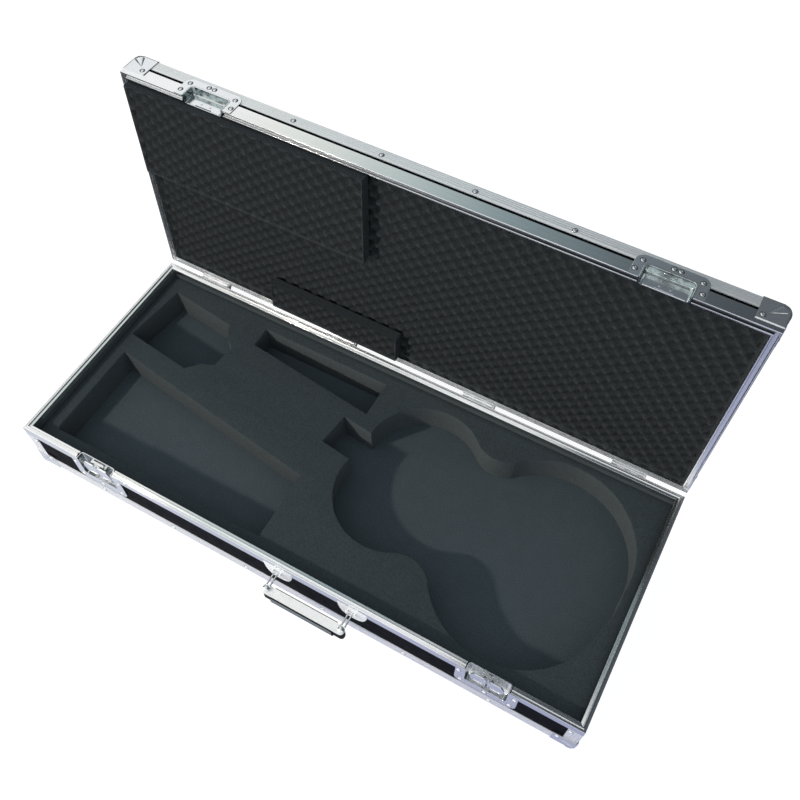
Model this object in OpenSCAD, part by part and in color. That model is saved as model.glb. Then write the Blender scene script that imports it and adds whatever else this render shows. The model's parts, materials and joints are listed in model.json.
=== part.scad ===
// Classical guitar case with an aluminium edge frame, standing open.
// X runs along the case, the front with the latches and the handle faces -Y, and Z is up.
// The origin is the middle of the bottom board's underside.

/* [Case] */
// Length over the edge extrusions
case_length = 1080; // [1072:2:1300]
// Depth from front to back over the edge extrusions
case_depth = 440; // [434:2:520]
// Height of the base from its bottom extrusion to the rim
base_height = 114; // [106:1:160]
// Height of the lid over its extrusions
lid_height = 50; // [48:1:80]
// Angle at which the lid rests open on its hinge stops
lid_open_angle = 92; // [90:1:100]

/* [Boards and extrusions] */
// Thickness of the laminated boards
board = 9; // [8:0.5:12]
// Wall thickness of every extrusion
wall = 1.5; // [1.2:0.1:1.8]
// Leg of the extrusions along the bottom edges
bottom_leg = 29.5; // [24:0.5:34]
// Leg of the extrusions along the lid's top edges
top_leg = 21; // [18:0.5:22]
// Leg of the upright corner extrusions
upright_leg = 23.5; // [18:0.5:34]
// Outer leg of the base rim
rim_leg = 20; // [14:0.5:26]
// Inner leg of the base rim
rim_inner_leg = 12; // [8:0.5:20]
// Height of the lid rim's outer band
band_height = 23.7; // [20:0.1:24.5]
// Inner leg of the lid rim above the rim plane
band_inner_leg = 16; // [10:0.5:20]
// Width of the tongue on the base rim
tongue_width = 3.5; // [2.5:0.1:4]
// Height of the tongue on the base rim
tongue_height = 3; // [2:0.1:3.5]
// Distance of the tongue from the outer face
tongue_inset = 4; // [3.5:0.1:4.5]
// Room on each side of the tongue inside the lid's groove
groove_room = 1.3; // [1.2:0.1:1.5]
// Gap that is left between the two rims when the lid is shut
rim_gap = 0.3; // [0.2:0.1:0.5]
// Depth of the lengthwise grooves in the wide extrusions
rib_depth = 0.4; // [0.3:0.1:0.6]
// Width of each lengthwise groove
rib_width = 1.4; // [1:0.1:1.8]
// Distance from one lengthwise groove to the next
rib_pitch = 4; // [3.6:0.1:5]

/* [Ball corners] */
// Side of each corner flange
flange_side = 40; // [36:1:44]
// Thickness of the corner steel
corner_steel = 1.5; // [1.2:0.1:1.8]
// Radius of the ball
ball_r = 13.5; // [13:0.1:14]
// How far the ball stands out of the extrusions
ball_proud = 4; // [3.5:0.1:4.2]
// Distance of the pressed ridge's tip from the case corner
ridge_reach = 24.5; // [22:0.5:27]
// Distance of the flange rivet from the case corner
flange_rivet = 32; // [31:0.5:34]

/* [Rivets] */
// Radius of a rivet head
rivet_r = 3.7; // [3:0.1:4.2]
// Height of a rivet head
rivet_h = 1.3; // [1:0.1:1.8]
// Spacing of the rivets along the edge extrusions
rivet_pitch = 156; // [140:1:162]

/* [Foam] */
// Depth of the base foam below the rim
foam_drop = 25; // [22:1:30]
// Depth of the cut-outs in the base foam
pocket_depth = 60; // [40:1:66]
// Distance of the lid foam's face from the rim plane
lid_foam_rise = 7; // [6:0.5:9]
// How far the lid's foam blocks stand out past the rim plane
block_proud = 14; // [10:1:18]
// Gap round the foam, filled by the glue
foam_gap = 0.3; // [0.2:0.1:0.5]
// Gap between the base foam and the boards
foam_side_gap = 0.5; // [0.3:0.1:1]

/* [Guitar cut-out] */
// Turn of the guitar's centre line from the case's length
guitar_turn = -7.3; // [-7.6:0.1:-6.8]
// Place of the neck end of the body along the case
guitar_x = -8; // [-12:0.5:-4]
// Place of the neck end of the body across the case
guitar_y = 51; // [48:0.5:53]
// Radius of the upper bout's sides
upper_r = 106.4; // [100:0.2:108]
// Distance of the upper bout's centres from the neck end
upper_u = 112.4; // [108:0.2:114]
// Half the distance between the upper bout's centres
upper_v = 43.2; // [40:0.2:45]
// Radius of the lower bout's sides
lower_r = 152.2; // [146:0.2:153]
// Distance of the lower bout's centres from the neck end
lower_u = 367.8; // [362:0.2:369]
// Half the distance between the lower bout's centres
lower_v = 40.5; // [37:0.5:42]
// Radius of the rounded butt end
butt_r = 162.5; // [158:0.5:200]
// Furthest point of the butt end from the neck end
butt_u = 524; // [518:1:526]
// Radius of the hollow of the waist
waist_r = 58.4; // [52:0.2:64]
// Length of the notch for the heel
heel_length = 55; // [40:1:70]
// Width of the notch for the heel
heel_width = 64; // [50:1:76]

/* [Hinges] */
// Distance of the outer hinges from the case's ends
hinge_end = 105; // [92:1:130]
// Length of a hinge barrel
barrel_length = 60; // [50:1:70]
// Distance of the hinge line behind the back face
hinge_out = 4.6; // [4.5:0.1:5]
// Distance of the hinge line below the rim plane
hinge_drop = 0.65; // [0.5:0.05:1]
// Radius of a hinge barrel
barrel_r = 3; // [2.8:0.1:3]
// Radius of a hinge pin
pin_r = 1.5; // [1.2:0.1:1.6]
// Radial running clearance of the pins
pin_clearance = 0.05; // [0.03:0.01:0.08]
// Height of the hinge leaves
leaf_height = 17; // [14:0.5:17]

/* [Latches] */
// Distance of each latch from the case's end
latch_end = 160; // [140:1:200]
// Width of the latch flanges
dish_flange = 107; // [100:1:116]
// Height of the base dish's flange
dish_flange_h = 75; // [70:1:80]
// Height of the lid keeper's flange
keeper_flange_h = 42; // [38:1:44]
// Width of the recess
recess_width = 72; // [68:1:76]
// Depth of the recess behind the front face
recess_depth = 12; // [12:0.5:16]
// Height of the recess in the base
recess_height = 53; // [53:0.5:56]
// Height of the recess in the lid
keeper_height = 26; // [22:0.5:26]
// Thickness of the dish steel
dish_steel = 1.2; // [1:0.1:1.5]
// Radius of the recess's back corners
recess_corner = 5; // [3:0.5:6]
// Depth of the latch spindle below the rim
spindle_drop = 23; // [22.5:0.5:24]
// Reach of each wing from the spindle
wing_reach = 29; // [24:0.5:29]
// Height of each wing
wing_height = 34; // [26:1:36]
// Thickness of a wing
wing_plate = 1.5; // [1.2:0.1:2]
// Travel of the hook
hook_travel = 12; // [10:0.5:14]
// Width of the hook plate
hook_width = 26; // [22:0.5:30]

/* [Handle] */
// Place of the handle along the case
handle_x = 69; // [-60:1:180]
// Distance between the two handle mounts
mount_span = 142; // [136:2:160]
// Width of a mounting plate
mount_width = 54; // [46:1:60]
// Height of a mounting plate
mount_height = 36; // [32:1:40]
// Distance of the handle's hinge line in front of the case
swing_out = 4.5; // [4.5:0.1:6]
// Depth of the handle's hinge line below the rim
swing_drop = 22; // [21:0.5:26]
// Distance of the grip's middle from the case's front
grip_out = 35; // [34.5:0.5:42]
// Length of the grip
grip_length = 154; // [152:1:180]
// Width of the grip
grip_width = 15.5; // [15:0.5:18]
// Thickness of the grip's metal top
grip_top = 3; // [2:0.2:4]
// Thickness of the rubber under the grip
grip_rubber = 23.5; // [20:0.5:24]
// Radius of the arm wire
arm_r = 1.5; // [1.2:0.1:1.8]

/* [Hidden] */
$fn = 48;

silver = "#dfe2e6";
steel = "#c9ccd2";
laminate = "#17181a";
foam_blue = "#2f3a40";
foam_dark = "#232629";
rubber_black = "#0c0c0d";

// Heights, counted from the underside of the bottom board
rim_z = base_height;
lid_top_z = rim_z + lid_height;
rim_width = 2 * wall + board;
half_length = case_length / 2;
half_depth = case_depth / 2;
more = 1;

// Rim profile
tongue_end = tongue_inset + tongue_width;
groove_start = tongue_inset - groove_room;
groove_end = tongue_end + groove_room;
groove_top = rim_gap + tongue_height + groove_room;
web_top = groove_top + wall;

// Ball corners
ball_inset = ball_r - ball_proud;
flange_round = corner_steel + 2;
edge_cutback = ball_inset + 5;
corner_chamfer = 5;

// Foam
foam_z = rim_z - foam_drop;
pocket_z = foam_z - pocket_depth;
foam_edge = wall + board + foam_side_gap;
lid_foam_edge = rim_width + foam_gap;
lid_foam_z = rim_z + lid_foam_rise;
block_z = rim_z - block_proud;
lid_board_z = lid_top_z - board;
rebate_gap = 0.5;
// The waist is cut a little deeper than tangent, so that it crosses the bouts
waist_cut = 0.3;

// Latches
latch_x = half_length - latch_end;
dish_gap = 0.5;
dish_taper = 20;
keeper_taper = 14;
flange_taper = 8.5;
flange_rivet_in = 5.5;
flange_rivet_low = 10.5;
keeper_rivet_drop = 6;
keeper_rivet_pair = 10;
dish_half = recess_width / 2 + dish_steel;
cut_half = dish_half + dish_gap;
dish_back = recess_depth + dish_steel;
spindle_z = rim_z - spindle_drop;
knuckle_r = 1.8;
wing_y = knuckle_r + 0.3;
wing_axis_x = 3;
wing_pin_r = 1;
wing_lug = 2.4;
wing_lug_z = wing_height / 2 - 6;
wing_rim = 1.2;
wing_start = wing_axis_x + knuckle_r + 0.3;
disc_r = 9.5;
disc_front = wing_y + knuckle_r + 0.3;
disc_back = disc_front + 2;
hook_front = disc_back + 0.3;
hook_back = hook_front + 2;
shaft_r = 3;
slot_r = shaft_r + 0.4;
hook_rest = 6;
hook_tail = 14;
hook_top = rim_z - hook_rest;
hook_bottom = spindle_z - hook_tail;
hook_nose = 2.7;
nose_reach = 2;
rail_width = 3;
rail_gap = 0.3;
rail_height = hook_top - hook_bottom - 4;
catch_plate = 1.2;
catch_front = recess_depth - catch_plate;
catch_low = rim_gap + 0.7;
catch_high = 14;
lip_reach = 2;
lip_height = 2;
lip_half = 14;
catch_half = recess_width / 2 - recess_corner - 0.5;

// Hinges
pivot_y = half_depth + hinge_out;
pivot_z = rim_z - hinge_drop;
leaf = wall;
leaf_half = barrel_length / 2 + 3;
knuckles = 5;
knuckle_gap = 0.3;
web_low = pin_r + pin_clearance + 0.15;
leaf_face = hinge_out - leaf;
stop_gap = 0.3;
stop_reach = 12;
stop_width = 2;
hinge_x = half_length - hinge_end;
HINGES = [-hinge_x, -hinge_x / 3, hinge_x / 3, hinge_x];
LATCHES = [-latch_x, latch_x];

// Handle
swing_z = rim_z - swing_drop;
mount_top = rim_z - rim_leg;
mount_boss = 0.55;
lug_gap = 2 * arm_r + 3.3;
lug = 2;
lug_r = 3;
arm_gap = 3.2;
grip_z = swing_z - arm_r - 0.2;
boss_r = 6;
boss_out = grip_out - 1;
grip_ribs = 5;
pad_inset = 0.3;
pad_half = grip_width / 2 - pad_inset;
grip_corner = 0.9 * pad_half;
// The middle of the rubber stands proud on both sides, with a grey strip let into its front
block_out = 2.3;
pad_round = 5;
trim_top = 0.8;
trim_proud = 0.3;
trim_let_in = 0.9;
block_length = 118;
trim_length = block_length - 3;
trim_height = 15.5;

// Foam blocks in the lid, by their distance from the middle of the case
neck_block_end = 84;
neck_block_edge = 26;
slot_block_start = 289;
slot_block_end = 21;
slot_block_edge = 141;

// Foam cut-outs for the accessories and the headstock, in case coordinates or along the guitar
accessory_pocket = [[-502, -183], [-65, -183], [-65, -52], [-502, 11]];
slot_pocket = [[-293, 145], [-26, 114], [-26, 187], [-293, 187]];
headstock_pocket = [
  [-504, -63], [-366, -63], [-347, -36], [-325, -24.5],
  [-325, 24.5], [-347, 36], [-366, 63], [-504, 63]
];

// Moves a piece drawn with the lid shut to where it stands with the lid open
module opened() {
  translate([0, pivot_y, pivot_z])
    rotate([-lid_open_angle, 0, 0])
      translate([0, -pivot_y, -pivot_z])
        children();
}

// A side's own frame: X along the side, Y inwards from the outer face
module on_side(side) {
  turn = side == "front" ? 0 : side == "right" ? 90 : side == "back" ? 180 : -90;
  reach = side == "front" || side == "back" ? half_depth : half_length;
  rotate([0, 0, turn])
    translate([0, -reach, 0])
      children();
}

function side_length(side) = side == "front" || side == "back" ? case_length : case_depth;

// Carries a profile in (Y, Z) along X
module along(length) {
  rotate([90, 0, 90])
    linear_extrude(height = length, center = true)
      children();
}

// Carries a profile along a side and mitres both ends
module mitred(side, width) {
  span = side_length(side);
  on_side(side)
    intersection() {
      along(span) children();
      linear_extrude(height = base_height + lid_height + more)
        polygon([
          [-span / 2, 0], [span / 2, 0],
          [span / 2 - width, width], [-span / 2 + width, width]
        ]);
    }
}

// One flat board, from two opposite corners
module slab(low, high) {
  translate(low)
    cube(high - low);
}

// Room for the latches in the front of the base and the lid
module latch_cuts(low, high) {
  for (x = LATCHES)
    translate([x - cut_half, -half_depth - more, low])
      cube([2 * cut_half, rim_width + 2 * more, high - low]);
}

// Boards
module board_plan() {
  side = [case_length - 2 * wall, case_depth - 2 * wall];
  c = corner_chamfer;
  polygon([
    [-side[0] / 2 + c, -side[1] / 2], [side[0] / 2 - c, -side[1] / 2],
    [side[0] / 2, -side[1] / 2 + c], [side[0] / 2, side[1] / 2 - c],
    [side[0] / 2 - c, side[1] / 2], [-side[0] / 2 + c, side[1] / 2],
    [-side[0] / 2, side[1] / 2 - c], [-side[0] / 2, -side[1] / 2 + c]
  ]);
}

module wall_board(side, low, high) {
  length = side_length(side) - 2 * wall;
  ends = side == "front" || side == "back" ? 0 : board;
  on_side(side)
    slab([-length / 2 + ends, wall, low], [length / 2 - ends, wall + board, high]);
}

// The middle of a large board, clear of the extrusions and the corner flanges
module panel_plan(leg) {
  inner = [case_length - 2 * leg, case_depth - 2 * leg] - [2, 2] * rebate_gap;
  notch = flange_side + more - leg - rebate_gap;
  difference() {
    square(inner, center = true);
    for (sx = [-1, 1])
      for (sy = [-1, 1])
        translate([sx * inner[0] / 2, sy * inner[1] / 2]) square(2 * notch, center = true);
  }
}

// A large board, with a rebate all round its outer face for the extrusions' legs
module rebated_board(leg) {
  translate([0, 0, wall])
    linear_extrude(height = board - wall) board_plan();
  linear_extrude(height = board) panel_plan(leg);
}

module bottom_board() {
  color(laminate) rebated_board(bottom_leg);
}

module lid_top_board() {
  color(laminate) opened()
    translate([0, 0, lid_top_z]) mirror([0, 0, 1]) rebated_board(top_leg);
}

module base_wall(side) {
  color(laminate) difference() {
    wall_board(side, board, rim_z - wall);
    if (side == "front")
      latch_cuts(rim_z - recess_height - dish_steel - rim_gap - dish_gap, rim_z + more);
  }
}

module lid_wall(side) {
  color(laminate) opened() difference() {
    wall_board(side, rim_z + web_top, lid_board_z);
    if (side == "front") latch_cuts(rim_z - more, lid_board_z + more);
  }
}

module front_board() { base_wall("front"); }
module back_board() { base_wall("back"); }
module left_board() { base_wall("left"); }
module right_board() { base_wall("right"); }
module lid_front_board() { lid_wall("front"); }
module lid_back_board() { lid_wall("back"); }
module lid_left_board() { lid_wall("left"); }
module lid_right_board() { lid_wall("right"); }

// Rims: the base carries the tongue and the lid the groove
module base_rim_profile() {
  polygon([
    [0, rim_z - rim_leg], [wall, rim_z - rim_leg], [wall, rim_z - wall],
    [wall + board, rim_z - wall], [wall + board, rim_z - rim_inner_leg],
    [rim_width, rim_z - rim_inner_leg], [rim_width, rim_z],
    [tongue_end, rim_z], [tongue_end, rim_z + tongue_height],
    [tongue_inset, rim_z + tongue_height], [tongue_inset, rim_z], [0, rim_z]
  ]);
}

module lid_rim_profile() {
  low = rim_z + rim_gap;
  polygon([
    [0, low], [groove_start, low], [groove_start, rim_z + groove_top],
    [groove_end, rim_z + groove_top], [groove_end, low], [rim_width, low],
    [rim_width, rim_z + band_inner_leg], [wall + board, rim_z + band_inner_leg],
    [wall + board, rim_z + web_top], [wall, rim_z + web_top],
    [wall, rim_z + band_height], [0, rim_z + band_height]
  ]);
}

module base_rim(side) {
  color(silver) difference() {
    mitred(side, rim_width) base_rim_profile();
    if (side == "front") latch_cuts(rim_z - rim_leg - more, rim_z + tongue_height + more);
  }
}

module lid_rim(side) {
  color(silver) opened() difference() {
    mitred(side, rim_width) lid_rim_profile();
    if (side == "front") latch_cuts(rim_z - more, rim_z + band_height + more);
  }
}

module front_rim() { base_rim("front"); }
module back_rim() { base_rim("back"); }
module left_rim() { base_rim("left"); }
module right_rim() { base_rim("right"); }
module lid_front_rim() { lid_rim("front"); }
module lid_back_rim() { lid_rim("back"); }
module lid_left_rim() { lid_rim("left"); }
module lid_right_rim() { lid_rim("right"); }

// Edge extrusions: an angle with grooves along both outer faces, corner at the origin
module angle_profile(upright, flat) {
  difference() {
    union() {
      square([wall, upright]);
      square([flat, wall]);
    }
    for (d = [rib_pitch + rib_width : rib_pitch : upright - rib_width])
      translate([0, d - rib_width]) square([rib_depth, rib_width]);
    for (d = [rib_pitch + rib_width : rib_pitch : flat - rib_width])
      translate([d - rib_width, 0]) square([rib_width, rib_depth]);
  }
}

// An edge extrusion, cut back for the ball corners and mitred to its neighbours
module edge(side, leg) {
  intersection() {
    mitred(side, leg + more) angle_profile(leg, leg);
    on_side(side)
      along(side_length(side) - 2 * edge_cutback)
        square(leg + more);
  }
}

module bottom_edge(side) {
  color(silver) edge(side, bottom_leg);
}

module lid_edge(side) {
  color(silver) opened()
    translate([0, 0, lid_top_z])
      mirror([0, 0, 1])
        edge(side, top_leg);
}

module front_bottom_edge() { bottom_edge("front"); }
module back_bottom_edge() { bottom_edge("back"); }
module left_bottom_edge() { bottom_edge("left"); }
module right_bottom_edge() { bottom_edge("right"); }
module lid_front_edge() { lid_edge("front"); }
module lid_back_edge() { lid_edge("back"); }
module lid_left_edge() { lid_edge("left"); }
module lid_right_edge() { lid_edge("right"); }

// Puts a piece drawn at the origin corner at all four corners of the case
module four_corners() {
  for (sx = [0, 1])
    for (sy = [0, 1])
      mirror([sx, 0, 0]) mirror([0, sy, 0])
        translate([-half_length, -half_depth, 0])
          children();
}

module corner_uprights() {
  color(silver) four_corners()
    translate([0, 0, bottom_leg + rim_gap])
      linear_extrude(height = base_height - bottom_leg - rim_leg - 2 * rim_gap)
        union() {
          square([wall, upright_leg]);
          square([upright_leg, wall]);
        }
}

// Three faces meet at a corner, and these turns carry the floor's flange to each of them
CORNER_TURNS = [[0, 0, 0], [90, 0, 90], [-90, -90, 0]];
// Turns the ball's poles and seam away from the flanges
BALL_TURN = [45, 35, 10];

// The angle that wraps one edge of the case, with a rounded outer corner
module flange_profile() {
  t = corner_steel;
  r = flange_round;
  leg = flange_side - r + t;
  translate([r - t, -t]) square([leg, 2 * t]);
  translate([-t, r - t]) square([2 * t, leg]);
  translate([r - t, r - t]) circle(r = r);
}

// A pressed steel ball corner: three flanges, a hollow ball and a ridge on each flange
module ball_corner() {
  c = ball_inset;
  reach = ridge_reach - c;
  drop = c + corner_steel;
  far = sqrt(2 * reach * reach + drop * drop);
  start = 5;
  slope = ball_r / sqrt(far * far - ball_r * ball_r);
  difference() {
    union() {
      for (turn = CORNER_TURNS)
        rotate(turn)
          translate([c, 0, 0])
            rotate([90, 0, 90])
              linear_extrude(height = flange_side - c) flange_profile();
      translate([c, c, c]) rotate(BALL_TURN) sphere(r = ball_r);
      for (turn = CORNER_TURNS)
        rotate(turn)
          translate([c, c, c])
            rotate([0, 90 + atan2(drop, sqrt(2) * reach), 45])
              translate([0, 0, start])
                cylinder(r1 = 0.97 * slope * (far - start), r2 = 0.3, h = far - start);
    }
    translate([c, c, c]) rotate(BALL_TURN) sphere(r = ball_r - corner_steel);
    translate([c, 0, 0]) cube(2 * flange_side);
    translate([0, c, 0]) cube(2 * flange_side);
    translate([0, 0, c]) cube(2 * flange_side);
  }
}

module base_ball_corners() {
  color(steel) four_corners() ball_corner();
}

module lid_ball_corners() {
  color(steel) opened() four_corners()
    translate([0, 0, lid_top_z]) mirror([0, 0, 1]) ball_corner();
}

// A domed rivet head on the plane Z = 0
module rivet() {
  dome = (rivet_r * rivet_r + rivet_h * rivet_h) / (2 * rivet_h);
  intersection() {
    translate([0, 0, rivet_h - dome]) sphere(r = dome);
    cylinder(r = rivet_r + more, h = rivet_h + more);
  }
}

// A rivet on a side's outer face, at x along the side and at height z, raised by lift
module side_rivet(side, x, z, lift = 0) {
  on_side(side) translate([x, -lift, z]) rotate([90, 0, 0]) rivet();
}

module corner_rivets() {
  f = flange_rivet;
  t = corner_steel;
  translate([f, f, -t]) mirror([0, 0, 1]) rivet();
  translate([f, -t, f]) rotate([90, 0, 0]) rivet();
  translate([-t, f, f]) rotate([0, -90, 0]) rivet();
}

// Rivets along an edge extrusion, left out where free_of says another piece lies
module edge_rivets(side, z, free_of) {
  reach = side_length(side) / 2 - flange_side - 2 * rivet_r;
  for (x = [rivet_pitch / 2 : rivet_pitch : reach])
    for (s = [-1, 1])
      if (len([for (p = free_of) if (abs(s * x - p[0]) < p[1] + 2 * rivet_r) p]) == 0)
        side_rivet(side, s * x, z);
}

// Five rivets on a latch flange: one in the middle, two at the sides and two at the tapered end
module dish_rivets(middle, sides, ends) {
  for (s = [-1, 1]) {
    side_rivet("front", s * (dish_flange / 2 - flange_rivet_in), sides, dish_steel);
    side_rivet("front", s * (dish_flange / 2 - flange_rivet_low), ends, dish_steel);
  }
  side_rivet("front", 0, middle, dish_steel);
}

dish_free = [for (x = LATCHES) [x, dish_flange / 2]];

module base_rivets() {
  middle = bottom_leg / 2;
  upright_z = rim_z - rim_leg - 2 * rivet_r - 2.3;
  color(steel) {
    four_corners() {
      corner_rivets();
      translate([upright_leg - 5, 0, upright_z]) rotate([90, 0, 0]) rivet();
      translate([0, upright_leg - 5, upright_z]) rotate([0, -90, 0]) rivet();
    }
    for (side = ["front", "back", "left", "right"]) edge_rivets(side, middle, []);
    for (x = LATCHES)
      translate([x, 0, 0])
        dish_rivets(
          rim_z - dish_flange_h + 10, rim_z - dish_flange_h + 53, rim_z - dish_flange_h + 13);
    for (x = HINGES)
      for (s = [-1, 0, 1])
        side_rivet("back", -x + s * barrel_length / 3, pivot_z - leaf_height + 4.5, leaf);
    for (s = [-1, 1])
      for (e = [-1, 1])
        side_rivet("front", handle_x + s * mount_span / 2 + e * mount_width / 3,
                   mount_top - 8);
  }
}

module lid_rivets() {
  middle = lid_top_z - top_leg / 2 - 2;
  keeper_rivet_z = rim_z + keeper_flange_h - keeper_rivet_drop;
  color(steel) opened() {
    four_corners() translate([0, 0, lid_top_z]) mirror([0, 0, 1]) corner_rivets();
    for (side = ["front", "back", "left", "right"])
      edge_rivets(side, middle, side == "front" ? dish_free : []);
    for (x = LATCHES) {
      translate([x, 0, 0])
        dish_rivets(
          keeper_rivet_z, rim_z + keeper_flange_h - 30.3, rim_z + keeper_flange_h - 11);
      side_rivet("front", x + sign(x) * keeper_rivet_pair, keeper_rivet_z, dish_steel);
    }
    for (x = HINGES)
      for (s = [-1, 0, 1])
        side_rivet("back", -x + s * barrel_length / 3, pivot_z + leaf_height - 4.5, leaf);
  }
}

// Foam: the guitar's outline from round bouts joined by round waists
function tangent_centre(a, ra, b, rb) =
  let (d = norm(b - a), e = (b - a) / d, s = (ra * ra - rb * rb + d * d) / (2 * d))
  a + e * s + [-e[1], e[0]] * sqrt(ra * ra - s * s);

waist = tangent_centre(
  [upper_u, upper_v], upper_r + waist_r, [lower_u, lower_v], lower_r + waist_r);

function toward(from, to, r) = from + (to - from) * r / norm(to - from);

module guitar_body() {
  upper = [upper_u, upper_v];
  lower = [lower_u, lower_v];
  t1 = toward(upper, waist, upper_r + more);
  t2 = toward(lower, waist, lower_r + more);
  difference() {
    union() {
      for (s = [0, 1])
        mirror([0, s]) {
          translate(upper) circle(r = upper_r, $fn = 120);
          translate(lower) circle(r = lower_r, $fn = 120);
          polygon([[upper_u, 0], upper, t1, t2, lower, [lower_u, 0]]);
          translate([upper_u - upper_r, 0]) square([upper_r, upper_v]);
        }
      intersection() {
        translate([butt_u - butt_r, 0]) circle(r = butt_r, $fn = 120);
        translate([lower_u, -butt_r]) square([butt_r, 2 * butt_r]);
      }
    }
    for (s = [0, 1])
      mirror([0, s]) translate(waist) circle(r = waist_r + waist_cut, $fn = 90);
  }
}

module pockets() {
  polygon(accessory_pocket);
  polygon(slot_pocket);
  translate([guitar_x, guitar_y])
    rotate(guitar_turn) {
      polygon(headstock_pocket);
      guitar_body();
      translate([-heel_length, -heel_width / 2]) square([heel_length + upper_r / 2, heel_width]);
    }
}

// Room for the latch dishes in the foam behind them
module dish_room(edge, low, high) {
  depth = dish_back + dish_gap - edge + more;
  for (x = LATCHES)
    translate([x - cut_half, -half_depth + edge - more, low])
      cube([2 * cut_half, depth, high - low]);
}

module foam_floor() {
  color(foam_blue)
    slab([-half_length + foam_edge, -half_depth + foam_edge, board + foam_gap],
         [half_length - foam_edge, half_depth - foam_edge, pocket_z - foam_gap]);
}

module foam_insert() {
  room_z = rim_z - recess_height - dish_steel - rim_gap - dish_gap;
  color(foam_blue) difference() {
    slab([-half_length + foam_edge, -half_depth + foam_edge, pocket_z],
         [half_length - foam_edge, half_depth - foam_edge, foam_z]);
    translate([0, 0, pocket_z - more])
      linear_extrude(height = pocket_depth + 2 * more) pockets();
    dish_room(foam_edge, room_z, foam_z + more);
  }
}

module lid_foam_sheet() {
  room_z = rim_z + rim_gap + keeper_height + dish_steel + dish_gap;
  color(foam_dark) opened() difference() {
    slab([-half_length + lid_foam_edge, -half_depth + lid_foam_edge, lid_foam_z],
         [half_length - lid_foam_edge, half_depth - lid_foam_edge, lid_board_z - foam_gap]);
    dish_room(lid_foam_edge, lid_foam_z - more, room_z);
  }
}

// Foam blocks in the lid, one over the neck and the accessories and one over the slot
module lid_block(low, high) {
  color(foam_dark) opened()
    slab([low[0], low[1], block_z], [high[0], high[1], lid_foam_z - foam_gap]);
}

module lid_block_neck() {
  lid_block([-half_length + rim_width + 1, -half_depth + dish_back + 1.3],
            [-neck_block_end, -neck_block_edge]);
}

module lid_block_slot() {
  lid_block([-slot_block_start, slot_block_edge], [-slot_block_end, half_depth - rim_width - 5]);
}

// Hinges: five knuckles on one pin, with a stop at the right end of each
module hinge_leaf(own, up) {
  pitch = barrel_length / knuckles;
  half = leaf_half;
  s = up ? 1 : -1;
  low = web_low;
  difference() {
    union() {
      translate([-half, -hinge_out, up ? low : -leaf_height])
        cube([2 * half, leaf, leaf_height - low]);
      for (i = own)
        translate([-barrel_length / 2 + i * pitch + knuckle_gap / 2, 0, 0]) {
          rotate([0, 90, 0]) cylinder(r = barrel_r, h = pitch - knuckle_gap);
          translate([0, -hinge_out, up ? low : -barrel_r])
            cube([pitch - knuckle_gap, hinge_out, barrel_r - low]);
        }
    }
    translate([-half - more, 0, 0])
      rotate([0, 90, 0]) cylinder(r = pin_r + pin_clearance, h = 2 * half + 2 * more);
  }
}

module hinge_stop() {
  out = leaf_face - stop_gap;
  a = lid_open_angle;
  near = [-out * cos(a), out * sin(a)];
  far = near + stop_reach * [sin(a), cos(a)];
  translate([leaf_half - stop_width / 2, 0, 0])
    along(stop_width)
      polygon([[-leaf_face, -leaf_height + 1], far, near, [-leaf_face, -barrel_r]]);
}

module hinge_base_leaves() {
  color(steel) for (x = HINGES)
    translate([x, pivot_y, pivot_z]) {
      hinge_leaf([0, 2, 4], false);
      hinge_stop();
    }
}

module hinge_lid_leaves() {
  color(steel) opened() for (x = HINGES)
    translate([x, pivot_y, pivot_z]) hinge_leaf([1, 3], true);
}

module hinge_pins() {
  color(steel) for (x = HINGES)
    translate([x - barrel_length / 2, pivot_y, pivot_z])
      rotate([0, 90, 0]) cylinder(r = pin_r, h = barrel_length);
}

// A pressed dish that hangs down from Z = 0 behind the front face, with a flange round it
module recess_plan(width, depth, r) {
  translate([-width / 2, 0]) square([width, depth - r]);
  translate([-width / 2 + r, 0]) square([width - 2 * r, depth]);
  for (s = [-1, 1]) translate([s * (width / 2 - r), depth - r]) circle(r = r);
}

module dish(height, flange_h, side_h, taper) {
  f = dish_flange / 2;
  difference() {
    union() {
      rotate([90, 0, 0])
        linear_extrude(height = dish_steel)
          polygon([
            [-f, 0], [f, 0], [f, -side_h],
            [f - taper, -flange_h], [-f + taper, -flange_h], [-f, -side_h]
          ]);
      translate([0, 0, -height - dish_steel])
        linear_extrude(height = height + dish_steel)
          recess_plan(2 * dish_half, dish_back, recess_corner + dish_steel);
    }
    translate([0, 0, -height])
      linear_extrude(height = height + more)
        recess_plan(recess_width, recess_depth, recess_corner);
    translate([-recess_width / 2, -dish_steel - more, -height])
      cube([recess_width, dish_steel + 2 * more, height + more]);
  }
}

module latch_dish(x) {
  rail_x = hook_width / 2 + rail_gap + rail_width / 2;
  color(steel) translate([x, -half_depth, rim_z - rim_gap])
    difference() {
      union() {
        dish(recess_height, dish_flange_h, dish_flange_h - dish_taper, flange_taper);
        for (s = [-1, 1])
          translate([s * rail_x - rail_width / 2, hook_front, hook_bottom - rim_z])
            cube([rail_width, recess_depth - hook_front + dish_steel / 2, rail_height]);
      }
      translate([0, recess_depth - more, spindle_z - rim_z + rim_gap])
        rotate([-90, 0, 0]) cylinder(r = shaft_r + pin_clearance, h = dish_steel + 2 * more);
    }
}

module latch_dish_left() { latch_dish(-latch_x); }
module latch_dish_right() { latch_dish(latch_x); }

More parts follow.
